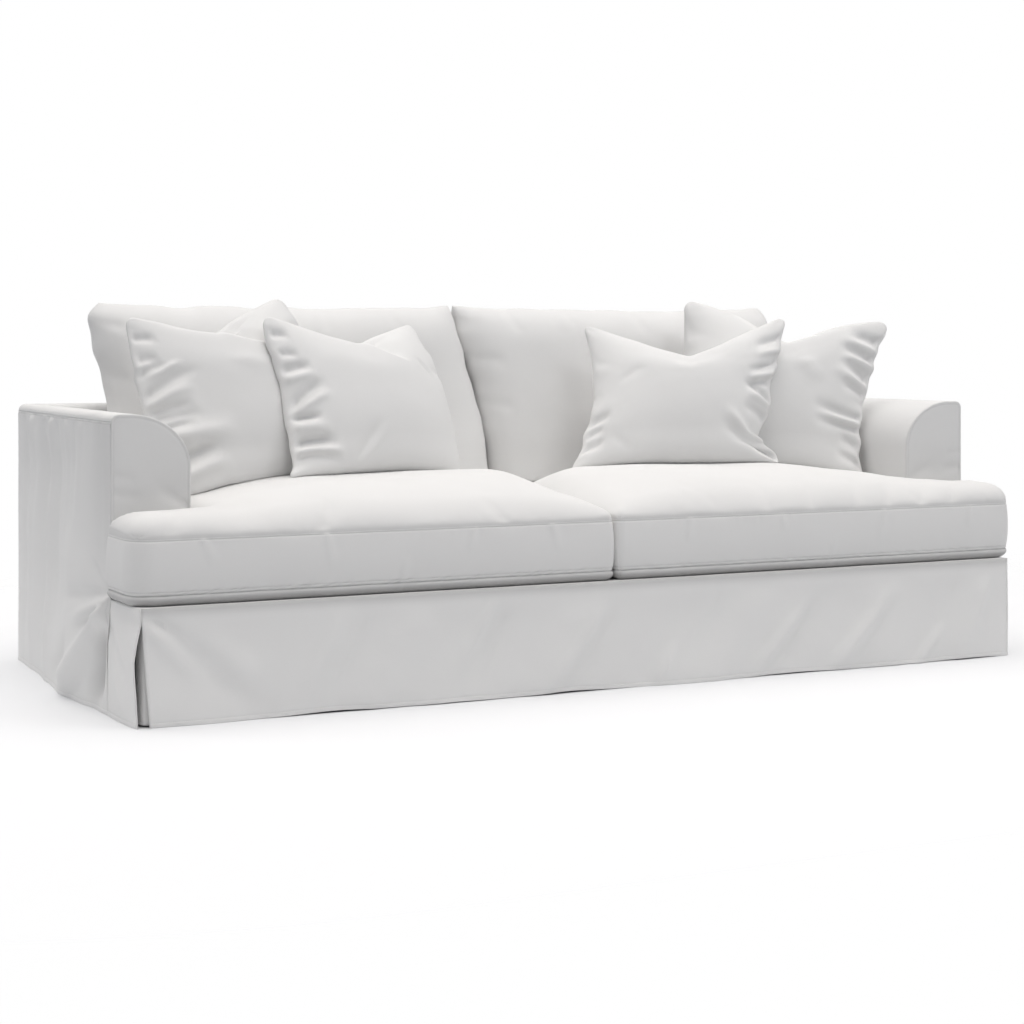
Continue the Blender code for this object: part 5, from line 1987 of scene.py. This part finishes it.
@dataclass
class BackCushion(Cover):
    """Back cushion: a full soft cushion that leans on the inside back and stands on the seat."""

    side: Side
    columns: int = 126
    rows: int = 72
    inner_end: float = 0.003  # from the sofa's middle, before its inner end leans
    lean_foot: float = 0.082  # how far the foot of that end is moved to the right
    lean: float = 0.100  # how much less its top is
    lean_least: float = -0.012
    outer_end: float = 0.990
    ear: float = 1.030  # where the outer end is at its widest, near the top
    top: float = 0.926
    foot: float = 0.440
    foot_y: float = 0.850  # depth of its middle at the foot and at the top
    head_y: float = 0.930
    half: float = 0.122  # half of its thickness at the foot
    thin_front: float = 0.028  # how much less that is at the top, in front and behind
    thin_back: float = 0.018
    tuck: float = 0.022  # how far its outer top corner is drawn in
    sag: float = 0.010  # how far its top edge sinks between the corners

    def build(self) -> bpy.types.Object:
        """Make the cushion with its soft edges, the pulls at its ends and its feathery lumps."""
        u = spread(self.columns, 0.90)[None, :]
        v = spread(self.rows, 0.75)[:, None]
        low = self.foot + REST_GAP
        rise = (v + 1) / 2
        outer = self.outer_end + (self.ear - self.outer_end) * soft_step((rise - 0.40) / 0.55)
        outer = outer - self.tuck * np.clip((rise - 0.90) / 0.10, 0, 1) ** 2
        leaning = np.maximum(self.lean_foot - self.lean * rise, self.lean_least)
        inner = self.inner_end + (leaning if self.side is Side.RIGHT else -leaning)
        seed = self.side.seed(150, 10)
        x = inner + (outer - inner) * (u + 1) / 2
        along, up = (u + 1) / 2 * (self.outer_end - self.inner_end), rise * (self.top - low)
        ends = np.minimum(along, self.outer_end - self.inner_end - along)
        ripple = 0.0060 * wander(up, 0.045, seed) * soft_step(rise / 0.1)
        x = x + ripple * np.abs(u) ** 8 * np.sign(u)
        z = low + (self.top - low) * rise - self.sag * (1 - u**4) * rise**6
        z = z + 0.0040 * wander(along, 0.070, seed + 1) * rise**10 * soft_step(ends / 0.03)
        middle = self.foot_y + (self.head_y - self.foot_y) * rise
        full = np.sqrt((1 - u**10) * (1 - v**8))
        crown = np.sqrt((1 - u**8) * (1 - np.abs(v) ** (8 - 3.6 * rise)))
        front = middle - (self.half - self.thin_front * rise) * crown
        back = middle + (self.half - self.thin_back * rise) * full
        wall = BACK_FACE - REST_GAP + 0.30 * np.maximum(z - TOP - 0.05, 0)
        back = np.minimum(back, wall)
        flat_foot = (z - low) * 0.96 * soft_step((0.25 - rise) / 0.17)
        seat = SeatCushion(self.cloths, self.slot, self.side, Stitching(""))
        under = seat.height(np.clip(np.abs(x), 0.012, 0.97), np.clip(front, 0.0, 0.90))
        hollow = self.foot - np.minimum(under, self.foot)
        down = flat_foot + hollow * (1 - soft_step(rise / 0.35))
        grid_front, grid_back = points_of(x, front, z - down), points_of(x, back, z - down)
        fold = 0.0050 * lumps(along, up, 0.21, seed + 2)
        fold = fold + 0.0016 * lumps(along, up, 0.08, seed + 3)
        fold = fold + 0.0030 * puckers(up, ends, seed + 4, 0.045, 0.060)
        fold = fold + 0.0024 * puckers(along, self.top - low - up, seed + 6, 0.050, 0.050)
        fold = fold + relief(BACK_CUSHION_CREASES[self.side], along, up)
        moved = raised(grid_front, fold * full * soft_step(rise / 0.12))
        moved[..., 1] = np.minimum(moved[..., 1], grid_back[..., 1])
        if self.side is Side.LEFT:
            moved, grid_back = mirror(moved), mirror(grid_back)
        cover = two_faced(moved, grid_back)
        return self.finish("back_cushion_" + self.side.value, cover, fill=0.6)


class Pillow(NamedTuple):
    """A throw pillow: its corners as (x, y, z), its dented top, its edges and its creases.

    The edges are places up the side from -1 to 1, each with how far the edge stands out there.
    The ridges are its creases, placed from the pillow's middle, along and up.
    """

    name: str
    top_left: Point3
    top_right: Point3
    bottom_right: Point3
    bottom_left: Point3
    bow: float  # how far its side edges stand out between the corners
    dent_at: float  # where the dent is, from -1 to 1
    dent: float  # how deep it is
    behind: tuple[str, ...]  # what it leans on
    left_edge: tuple[Point2, ...]
    right_edge: tuple[Point2, ...]
    ridges: tuple[Crease, ...]
    seed: int
    skew: float = 0.0  # how much fuller it is towards its right than in its middle
    steep: float = 1.0  # how much steeper its dent is in the middle than towards the corners
    chop: tuple[Point2, Point2, float] | None = None  # a lip's ends, and how far its cloth sinks


PILLOWS = (
    Pillow(
        name="throw_pillow_left_rear",
        top_left=(-1.058, 0.520, 0.890),
        top_right=(-0.603, 0.690, 0.944),
        bottom_right=(-0.440, 0.545, 0.462),
        bottom_left=(-0.978, 0.400, 0.470),
        bow=-0.003,
        dent_at=-0.10,
        dent=0.070,
        behind=("back_cushion_left_cover", "arm_cover_left_panel"),
        left_edge=(
            (-1.0, 0.0), (-0.6, 0.008), (-0.23, 0.013), (0.0, 0.017), (0.31, 0.019),
            (0.64, 0.010), (1.0, 0.0),
        ),
        right_edge=((-1.0, 0.0), (0.0, 0.030), (0.6, 0.022), (1.0, 0.0)),
        ridges=creases(
            (-262, 176, -196, 184, 11, -9.9, 1.5, 0, 1),
            (-262, 108, -206, 124, 10, -8.3, 1.6, 2, 1),
            (-262, 66, -196, 106, 9, -9, 1.6, 2, 1),
            (-234, 62, -160, 110, 7, 6.8, 1.4),
            (-262, 4, -130, 86, 10, -12.3, 1.9, 6, 1),
            (-262, -18, -150, 30, 9, 8.3, 1.8, 4, 1),
            (-262, -34, -160, -26, 9, -13.2, 1.7, 4, 1),
            (-262, -52, -150, -52, 9, -12.3, 1.6, 3, 1),
            (-240, -80, -170, -70, 8, -11.6, 1.5, 0, 1),
            (-262, -104, -74, -108, 15, 11.6, 1.9, 6, 1),
            (-262, -150, -190, -130, 12, -11.6, 1.6, 0, 1),
            (-250, -176, -126, -140, 12, -25, 1.3, 6, 1),
            (-240, -205, -110, -180, 14, 13.2, 1.5, 4, 1),
            (262, 160, 180, 150, 14, -9.9, 1.7, 0, 1),
            (262, 90, 190, 100, 14, -8.3, 1.7, 0, 1),
            (-30, 120, 90, 40, 26, 4.1, 1.3),
        ),
        seed=171,
        skew=0.42,
        chop=((-0.045, 0.232), (0.100, 0.132), 0.030),
    ),
    Pillow(
        name="throw_pillow_left_front",
        top_left=(-0.702, 0.530, 0.896),
        top_right=(-0.210, 0.720, 0.877),
        bottom_right=(-0.134, 0.560, 0.492),
        bottom_left=(-0.672, 0.370, 0.498),
        bow=0.010,
        dent_at=-0.08,
        dent=0.076,
        behind=("back_cushion_left_cover", "throw_pillow_left_rear_cover"),
        left_edge=(
            (-1.0, 0.036), (-0.94, 0.030), (-0.86, 0.008), (-0.75, 0.002), (-0.5, -0.006),
            (-0.2, -0.012), (0.1, -0.016), (0.4, -0.006), (0.7, 0.004), (1.0, 0.008),
        ),
        right_edge=(
            (-1.0, -0.024), (-0.5, -0.018), (0.0, -0.010), (0.3, -0.007), (0.7, -0.014),
            (1.0, -0.014),
        ),
        ridges=creases(
            (-278, 156, -224, 164, 11, -9.9, 1.5, 0, 1),
            (-278, 102, -220, 104, 10, -10.7, 1.5, 0, 1),
            (-278, 54, -200, 66, 10, -11.6, 1.6, 2, 1),
            (-278, 28, -190, 44, 9, 6.6, 1.6, 0, 1),
            (-278, -46, -176, 20, 10, -13.2, 1.7, 6, 1),
            (-250, -52, -164, -14, 8, 7.4, 1.5, 2),
            (-280, -66, -200, -76, 7, -16.5, 1.4, 0, 1),
            (-278, -92, -180, -104, 10, 8.3, 1.6, 0, 1),
            (-278, -130, -168, -144, 10, -20.6, 1.5, 4, 1),
            (-270, -156, -150, -168, 11, 13.2, 1.5, 0, 1),
            (-268, -166, -158, -186, 9, -11.6, 1.4, 4, 1),
            (-130, -196, -24, -88, 10, -4.1, 1.5),
            (-110, -196, -4, -98, 10, 3.2, 1.5),
            (150, 96, 206, 10, 8, -4.1, 1.5),
            (276, 40, 190, 60, 14, -5, 1.7, 0, 1),
        ),
        seed=172,
        skew=0.10,
        chop=((-0.030, 0.206), (0.105, 0.092), 0.026),
    ),
    Pillow(
        name="throw_pillow_right_rear",
        top_left=(0.618, 0.720, 0.944),
        top_right=(1.116, 0.440, 0.882),
        bottom_right=(0.966, 0.360, 0.468),
        bottom_left=(0.500, 0.600, 0.462),
        bow=-0.012,
        dent_at=0.04,
        dent=0.092,
        behind=("back_cushion_right_cover", "arm_cover_right_panel"),
        left_edge=((-1.0, 0.0), (0.0, -0.004), (1.0, 0.0)),
        right_edge=(
            (-1.0, 0.012), (-0.82, -0.002), (-0.72, -0.012), (-0.59, -0.006), (-0.47, -0.017),
            (-0.30, -0.012), (-0.14, -0.016), (0.06, -0.010), (0.24, -0.011), (0.35, -0.003),
            (0.45, -0.010), (0.58, -0.004), (0.67, -0.006), (0.80, 0.004), (1.0, 0.004),
        ),
        ridges=creases(
            (276, 164, 180, 200, 12, -13.2, 1.7, 4, 1),
            (276, 130, 150, 190, 10, 8.3, 1.7, 4, 1),
            (276, 104, 160, 160, 11, -13.2, 1.8, 4, 1),
            (276, 76, 170, 124, 10, 8.3, 1.6, 0, 1),
            (274, 40, 170, 110, 12, -13.2, 1.8, 4, 1),
            (272, 10, 150, 80, 11, 8.3, 1.8, 0, 1),
            (272, -10, 180, 30, 10, -9.9, 1.6, 0, 1),
            (266, -78, 100, -50, 11, -13.2, 1.8, 6, 1),
            (264, -96, 120, -76, 9, 11.6, 1.7, 4, 1),
            (262, -112, 110, -92, 10, -9.9, 1.7, 4, 1),
            (264, -160, 190, -140, 12, -9.9, 1.6, 0, 1),
            (266, -200, 190, -190, 12, -9.9, 1.6, 0, 1),
            (60, 120, 120, 10, 20, 4.1, 1.4),
        ),
        seed=173,
        skew=-0.30,
        steep=1.7,
    ),
    Pillow(
        name="throw_pillow_right_front",
        top_left=(0.272, 0.690, 0.878),
        top_right=(0.804, 0.490, 0.903),
        bottom_right=(0.690, 0.350, 0.495),
        bottom_left=(0.140, 0.520, 0.490),
        bow=-0.046,
        dent_at=0.05,
        dent=0.124,
        behind=("back_cushion_right_cover", "throw_pillow_right_rear_cover"),
        left_edge=(
            (-1.0, 0.006), (-0.92, 0.000), (-0.80, -0.006), (-0.70, -0.009), (-0.54, 0.000),
            (-0.40, -0.008), (-0.25, -0.006), (-0.10, -0.008), (0.14, -0.002), (0.57, -0.001),
            (1.0, -0.002),
        ),
        right_edge=(
            (-1.0, 0.012), (-0.90, 0.005), (-0.83, 0.002), (-0.77, -0.027), (-0.71, -0.024),
            (-0.65, -0.038), (-0.50, -0.018), (-0.38, 0.002), (-0.28, 0.008), (-0.18, 0.016),
            (-0.02, 0.010), (0.15, 0.016), (0.27, 0.028), (0.38, 0.020), (0.50, 0.026),
            (0.66, 0.018), (0.84, 0.014), (1.0, 0.004),
        ),
        ridges=creases(
            (288, 150, 200, 140, 12, -9.9, 1.7, 0, 1),
            (286, 110, 210, 96, 10, 6.6, 1.6, 0, 1),
            (286, 72, 196, 40, 11, -13.2, 1.7, 4, 1),
            (284, 40, 210, 10, 9, 9.9, 1.6, 0, 1),
            (282, 10, 190, -10, 10, -13.2, 1.6, 0, 1),
            (282, -50, 214, 10, 9, -13.2, 1.5, 4, 1),
            (280, -64, 200, -30, 8, 9.9, 1.5, 0, 1),
            (276, -96, 190, -70, 10, -11.6, 1.6, 0, 1),
            (270, -200, 110, -110, 13, -9.9, 1.6, 6, 1),
            (240, -150, 130, -80, 10, 8.3, 1.6, 4, 1),
            (286, -200, 210, -186, 10, -9.9, 1.5, 0, 1),
            (-210, 10, -120, 80, 12, -3, 1.6),
            (-200, -150, -100, -214, 12, -3.2, 1.6),
            (-286, -100, -220, -84, 11, -9.9, 1.6, 0, 1),
            (-284, -134, -220, -120, 10, -9.9, 1.6, 0, 1),
            (-284, -170, -214, -160, 11, -9.9, 1.6, 0, 1),
        ),
        seed=174,
    ),
)


def tree_of(names: Sequence[str]) -> BVHTree:
    """A search tree of these objects' surfaces.

    Args:
        names: the objects' names.

    Returns:
        The tree, for ray casts.
    """
    points: list[Vector] = []
    faces: list[tuple[int, ...]] = []
    for name in names:
        mesh = bpy.data.objects[name].data
        start = len(points)
        points += [v.co.copy() for v in mesh.vertices]
        faces += [tuple(start + i for i in p.vertices) for p in mesh.polygons]
    return BVHTree.FromPolygons(points, faces)


def surface_ahead(tree: BVHTree, point: Grid, way: Grid) -> float:
    """How far ahead of a point a surface lies, as seen from CAST_FROM further on.

    Args:
        tree: the surface.
        point: the point.
        way: the direction that counts as ahead.

    Returns:
        The distance, under 0 if the surface is behind the point, minus infinity if there is none.
    """
    start, ahead = Vector(place(point)), Vector(way)
    hit = tree.ray_cast(start + ahead * CAST_FROM, -ahead, 2 * CAST_FROM)[0]
    return -math.inf if hit is None else (hit - start).dot(ahead)


@dataclass
class ThrowPillow(Cover):
    """Knife-edged throw pillow, dented in its top, pressed on the seat and what is behind it."""

    pillow: Pillow
    columns: int = 131
    rows: int = 111
    thickness: float = 0.172
    lift: float = 0.012  # how far the bottom edge rises between the corners
    dent_soft: float = 0.035  # how rounded the bottom of the dent is
    corner: float = 0.030  # radius of its corners
    sink: float = 0.018  # how far the top seam sinks into the dent
    lip: float = 0.012  # how high the filling stands beside the sunk seam
    kick: float = 0.014  # how far its bottom edge is pushed forwards on the seat
    side_wave: float = 0.0050  # how far its side edges wave, and its top and bottom edges
    end_wave: float = 0.0030
    least: float = 0.012  # how thin it may be pressed
    clear: float = 0.002  # from what it leans on

    def edge_shift(self, edge: Sequence[Point2], v: Grid) -> Grid:
        """How far a side edge stands out at these places up it, as a smooth curve.

        Args:
            edge: places up it and how far it stands out there.
            v: the places that are asked for.

        Returns:
            How far it stands out there.
        """
        at, out = zip(*edge)
        fine, kernel = np.linspace(-1.0, 1.0, 401), np.hanning(17)
        padded = np.pad(np.interp(fine, at, out), len(kernel) // 2, mode="edge")
        curve = np.convolve(padded, kernel / kernel.sum(), mode="valid")
        return np.interp(v, fine, curve)

    def rounded(self, u: Grid, v: Grid, wide: float, tall: float) -> tuple[Grid, Grid]:
        """Move places from -1 to 1 on the pillow's plan on to arcs near its corners.

        Args:
            u: places along.
            v: places up.
            wide: half of its width.
            tall: half of its height.

        Returns:
            The moved places.
        """
        a = np.clip((np.abs(u) - 1) * wide / self.corner + 1, 0.0, 1.0)
        b = np.clip((np.abs(v) - 1) * tall / self.corner + 1, 0.0, 1.0)
        less_u = (1 - np.sqrt(1 - b**2 / 2)) * a * self.corner / wide
        less_v = (1 - np.sqrt(1 - a**2 / 2)) * b * self.corner / tall
        return u - np.sign(u) * less_u, v - np.sign(v) * less_v

    def chopped(self, along: Grid, up: Grid) -> Grid:
        """How far the cloth over the lip beside the dent sinks behind it, at these places.

        Args:
            along: metres from the middle.
            up: the same upwards.

        Returns:
            The depths.
        """
        if self.pillow.chop is None:
            return np.zeros(along.shape)
        start, end, depth = self.pillow.chop
        run = np.array(end) - np.array(start)
        length = float(np.hypot(*run))
        ahead = run / length
        a, b = along - start[0], up - start[1]
        share, over = (a * ahead[0] + b * ahead[1]) / length, b * ahead[0] - a * ahead[1]
        fade = soft_step((share + 0.25) / 0.3) * (1 - soft_step((share - 0.45) / 0.7))
        return depth * fade * soft_step((over + 0.003) / 0.012) * bump(np.maximum(over, 0), 0.075)

    def shape(self) -> tuple[Grid, Grid, Grid, Grid]:
        """The pillow's front and back before it is pressed, the way it faces, how full it is."""
        pillow = self.pillow
        left = np.array(pillow.bottom_left), np.array(pillow.top_left)
        right = np.array(pillow.bottom_right), np.array(pillow.top_right)
        across = right[0] + right[1] - left[0] - left[1]
        upward = left[1] + right[1] - left[0] - right[0]
        facing = np.cross(across, upward)
        facing /= np.linalg.norm(facing)
        wide, tall = np.linalg.norm(across) / 4, np.linalg.norm(upward) / 4
        ahead, climb = across / np.linalg.norm(across), upward / np.linalg.norm(upward)
        square_u, square_v = np.meshgrid(spread(self.columns), spread(self.rows))
        u, v = self.rounded(square_u, square_v, wide, tall)
        un, vn = u[..., None], v[..., None]
        low = left[0] * (1 - un) / 2 + right[0] * (1 + un) / 2
        high = left[1] * (1 - un) / 2 + right[1] * (1 + un) / 2
        flat = low * (1 - vn) / 2 + high * (1 + vn) / 2
        flat = flat + ahead * un * pillow.bow * (1 - vn**2)
        flat = flat + climb * self.lift * np.maximum(-vn, 0) * (1 - un**2)
        off = u - pillow.dent_at
        reach = 1 - np.sign(off) * pillow.dent_at
        tent = 1 - (np.sqrt(off**2 + self.dent_soft**2) - self.dent_soft) / reach
        dent = np.clip(tent, 0.0, 1.0) ** pillow.steep * soft_step((v + 0.1) / 1.1)
        under = (1 - square_v) * tall
        sunk = self.sink * bump(off, 0.30) * bump(under, 0.020)
        stands = self.lip * bump(off, 0.42) * bump(under - 0.036, 0.030)
        flat = flat - climb * (pillow.dent * dent + sunk - stands)[..., None]
        flat = flat + facing * (self.kick * soft_step((-v - 0.60) / 0.40) * (1 - u**6))[..., None]
        near_left, near_right = soft_step((-u - 0.45) / 0.55), soft_step((u - 0.45) / 0.55)
        shift = self.edge_shift(pillow.right_edge, v) * near_right
        shift = shift - self.edge_shift(pillow.left_edge, v) * near_left
        flat = flat + ahead * shift[..., None]
        along, up = u * wide, v * tall
        side_gap, end_gap = (1 - np.abs(square_u)) * wide, (1 - np.abs(square_v)) * tall
        ruffle = wander(up, 0.034, pillow.seed) * bump(side_gap, 0.030) * (1 - v**8)
        rise = wander(along, 0.060, pillow.seed + 1) * bump(end_gap, 0.030) * (1 - u**8)
        flat = flat + facing * (self.side_wave * ruffle + self.end_wave * rise)[..., None]
        full = np.clip((1 - square_u**2) * (1 - square_v**2), 0, 1) ** 0.52
        half = self.thickness / 2 * full * (1 + 0.25 * dent - 0.12 * v) * (1 + pillow.skew * u)
        fold = relief(pillow.ridges, along, up) - self.chopped(along, up)
        fold = fold + 0.0022 * puckers(up, side_gap, pillow.seed + 2, 0.030, 0.050, 0.3)
        fold = fold + 0.0012 * puckers(along, end_gap, pillow.seed + 5, 0.034, 0.035)
        fold = fold + 0.0026 * lumps(along, up, 0.13, pillow.seed) * full
        fold = fold + 0.0008 * lumps(along, up, 0.05, pillow.seed + 1) * full
        edge = soft_step(side_gap / 0.016) * soft_step(end_gap / 0.016)
        front = raised(flat + facing * half[..., None], fold * edge)
        back = flat - facing * half[..., None]
        return front, back, facing, full

    def press(self, front: Grid, back: Grid, facing: Grid, full: Grid) -> None:
        """Push the pillow out of what it leans on and out of the seat, in place.

        Args:
            front: the front's points.
            back: the back's points.
            facing: the way it faces.
            full: how full it is at each point.
        """
        leaning = tree_of(self.pillow.behind)
        side = "left" if "left" in self.pillow.name else "right"
        seat = tree_of((f"seat_cushion_{side}_cover",))
        self.push_out(back, leaning, facing, self.clear)
        thin = self.least * np.minimum(1.0, 2 * full)
        gap = ((front - back) @ facing) - thin
        front += facing * np.maximum(-gap, 0.0)[..., None]
        self.settle(front, back, seat)
        for grid in (front, back):
            self.push_out(grid[: len(grid) // 2], seat, UPWARD, REST_GAP)

    def push_out(self, grid: Grid, tree: BVHTree, way: Grid, gap: float) -> None:
        """Push a grid's points this way out of a surface, in place.

        Args:
            grid: the points.
            tree: the surface.
            way: the direction.
            gap: how far off the surface they have to be.
        """
        for row in grid:
            for point in row:
                ahead = surface_ahead(tree, point, way)
                if ahead > -gap:
                    point += way * (ahead + gap)

    def settle(self, front: Grid, back: Grid, seat: BVHTree) -> None:
        """Let the pillow's foot down on to the seat, in place.

        Args:
            front: the front's points.
            back: the back's points.
            seat: the seat cushion's surface.
        """
        ahead = np.array([surface_ahead(seat, point, UPWARD) for point in back[0]])
        gaps = np.where(np.isinf(ahead), 0.0, np.maximum(-ahead - REST_GAP, 0.0))
        gaps = np.convolve(np.pad(gaps, 3, mode="edge"), np.ones(7) / 7, mode="valid")
        share = 1 - soft_step(np.arange(len(back)) / (0.40 * len(back)))
        for grid in (front, back):
            grid[..., 2] -= share[:, None] * gaps[None, :]

    def build(self) -> bpy.types.Object:
        """Make the pillow, pressed in its place."""
        front, back, facing, full = self.shape()
        self.press(front, back, facing, full)
        return self.finish(self.pillow.name, two_faced(front, back), fill=0.6)


# ------------------------------------------------------------------------------
# Studio


class Lamp(NamedTuple):
    """A soft rectangular light."""

    name: str
    hangs: Point3
    aim: Point3
    size: Point2
    power: float  # in watts
    beam: float = 180.0  # how wide its beam is, in degrees


# The main light high in front, one behind the left arm and a faint one for the back cushions
LAMPS = (
    Lamp("softbox", (3.4, -3.6, 4.6), (0.0, 0.0, 0.4), (3.0, 3.0), 37.0),
    Lamp("side", (-3.6, 2.0, 2.4), (-1.2, 0.0, 0.4), (1.4, 1.4), 14.0),
    Lamp("fill", (0.3, -2.6, 3.0), (0.1, 0.195, 0.70), (2.6, 0.5), 1.1, 32.0),
)


@dataclass
class Studio:
    """Pale floor, soft light and the camera."""

    eye: Point3 = (-2.466, -4.890, 0.824)
    turn: float = -26.69  # in degrees, under 0 because it looks to the right
    lens: float = 73.5
    sensor: float = 36.0
    rise: float = -0.1657  # the lens's vertical shift
    floor_size: float = 12.0
    floor_near: float = 0.35  # where the floor starts to fade into the white background
    floor_far: float = 2.20  # and where it ends, both from the cover's outside
    stands_on: Point2 = (1.20, 0.56)  # half of the cover's width and depth
    low_light: float = 0.215  # the sky's light all round, and what is added overhead
    low_colour: tuple[float, float, float, float] = (0.85, 0.905, 1.0, 1.0)
    high_light: float = 2.65
    high_colour: tuple[float, float, float, float] = (1.0, 0.962, 0.925, 1.0)

    def build(self) -> None:
        """Set up the floor, the light and the camera."""
        self.floor()
        self.world()
        for lamp in LAMPS:
            self.light(lamp)
        self.camera()
        bpy.context.scene.view_settings.view_transform = "Standard"
        bpy.context.scene.view_settings.look = "None"

    def floor(self) -> None:
        """A wide pale floor under the cover."""
        deselect_all()
        bpy.ops.mesh.primitive_plane_add(size=self.floor_size, location=(0.0, 0.0, -0.0005))
        floor = bpy.context.object
        floor.name = "floor"
        material = bpy.data.materials.new("floor_paint")
        graph = Graph(material)
        graph.shader.inputs["Base Color"].default_value = (0.885, 0.895, 0.91, 1.0)
        graph.shader.inputs["Roughness"].default_value = 0.9
        near = graph.vector("ABSOLUTE", {0: graph.add("TexCoord", out=COORD_OBJECT)})
        past = graph.vector("SUBTRACT", {0: near, 1: (*self.stands_on, 0.0)})
        past = graph.vector("MAXIMUM", {0: past, 1: (0.0, 0.0, 0.0)})
        limits = {"Value": graph.vector("LENGTH", {0: past}, out=1), "To Min": 1.0, "To Max": 0.0}
        limits |= {"From Min": self.floor_near, "From Max": self.floor_far}
        solid = graph.add("MapRange", limits, interpolation_type="SMOOTHSTEP")
        graph.put(graph.shader.inputs["Alpha"], solid)
        floor.data.materials.append(material)
        deselect_all()

    def world(self) -> None:
        """Soft light, strongest overhead, and white where the camera looks past the floor."""
        world = bpy.data.worlds.new("studio")
        bpy.context.scene.world = world
        graph = Graph(world)
        height = graph.add("Clamp", {0: graph.split(graph.add("TexCoord"))[2]})
        low = {"Color": self.low_colour, "Strength": self.low_light}
        high = {"Color": self.high_colour, "Strength": (height**4.0) * self.high_light}
        sky = {0: graph.add("Background", low), 1: graph.add("Background", high)}
        white = graph.add("Background", {"Color": (1.0, 1.0, 1.0, 1.0)})
        mixed = {0: graph.add("LightPath"), 1: graph.add("AddShader", sky), 2: white}
        surface = graph.tree.nodes["World Output"].inputs["Surface"]
        graph.put(surface, graph.add("MixShader", mixed))

    def light(self, lamp: Lamp) -> None:
        """Hang up one of the lights.

        Args:
            lamp: which light.
        """
        data = bpy.data.lights.new(lamp.name, "AREA")
        data.shape = "RECTANGLE"
        data.size, data.size_y = lamp.size
        data.energy = lamp.power
        data.spread = math.radians(lamp.beam)
        obj = bpy.data.objects.new(lamp.name, data)
        obj.location = lamp.hangs
        facing = Vector(lamp.aim) - Vector(lamp.hangs)
        obj.rotation_euler = facing.to_track_quat("-Z", "Y").to_euler()
        bpy.context.scene.collection.objects.link(obj)

    def camera(self) -> None:
        """The camera, in front of the sofa and to the left of its middle."""
        data = bpy.data.cameras.new("camera")
        data.sensor_width = self.sensor
        data.lens = self.lens
        data.shift_y = self.rise
        obj = bpy.data.objects.new("camera", data)
        obj.location = self.eye
        obj.rotation_euler = (math.pi / 2, 0.0, math.radians(self.turn))
        bpy.context.scene.collection.objects.link(obj)
        bpy.context.scene.camera = obj


def finish_stitching(stitching: Stitching, side: Side, cloths: Cloths, slot: str) -> None:
    """Args:
        stitching: its stitches.
        side: the side that they are on.
        cloths: the finishes.
        slot: the slot of the cloth that they go with.
    """
    piece = stitching.build(side)
    cloths.dress(piece, slot, sewn=True)
    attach(piece, "root")
    LOG.info("%s: %d faces", piece.name, len(piece.data.polygons))


def main() -> None:
    """Build the cover's pieces in order, then the studio."""
    logging.basicConfig(level=logging.INFO, format="%(message)s")
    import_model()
    cloths = Cloths()
    for side in Side:
        body = Stitching("body_stitching_" + side.value)
        for kind in (OutsideArm, ArmCover, ArmFront, SkirtCorner, CornerPleat):
            kind(side, cloths, body).build()
        finish_stitching(body, side, cloths, "body_cloth")
        seat = Stitching("seat_stitching_" + side.value)
        SeatCushion(cloths, "cushion_cloth", side, seat).build()
        finish_stitching(seat, side, cloths, "cushion_cloth")
        BackCushion(cloths, "cushion_cloth", side).build()
    middle = Stitching("body_stitching_middle")
    for kind in (OutsideBack, InsideBack, SeatDeck, FrontSkirt):
        kind(Side.RIGHT, cloths, middle).build()
    finish_stitching(middle, Side.RIGHT, cloths, "body_cloth")
    for pillow in PILLOWS:
        ThrowPillow(cloths, "pillow_cloth", pillow).build()
    Studio().build()


if __name__ == "__main__":
    main()
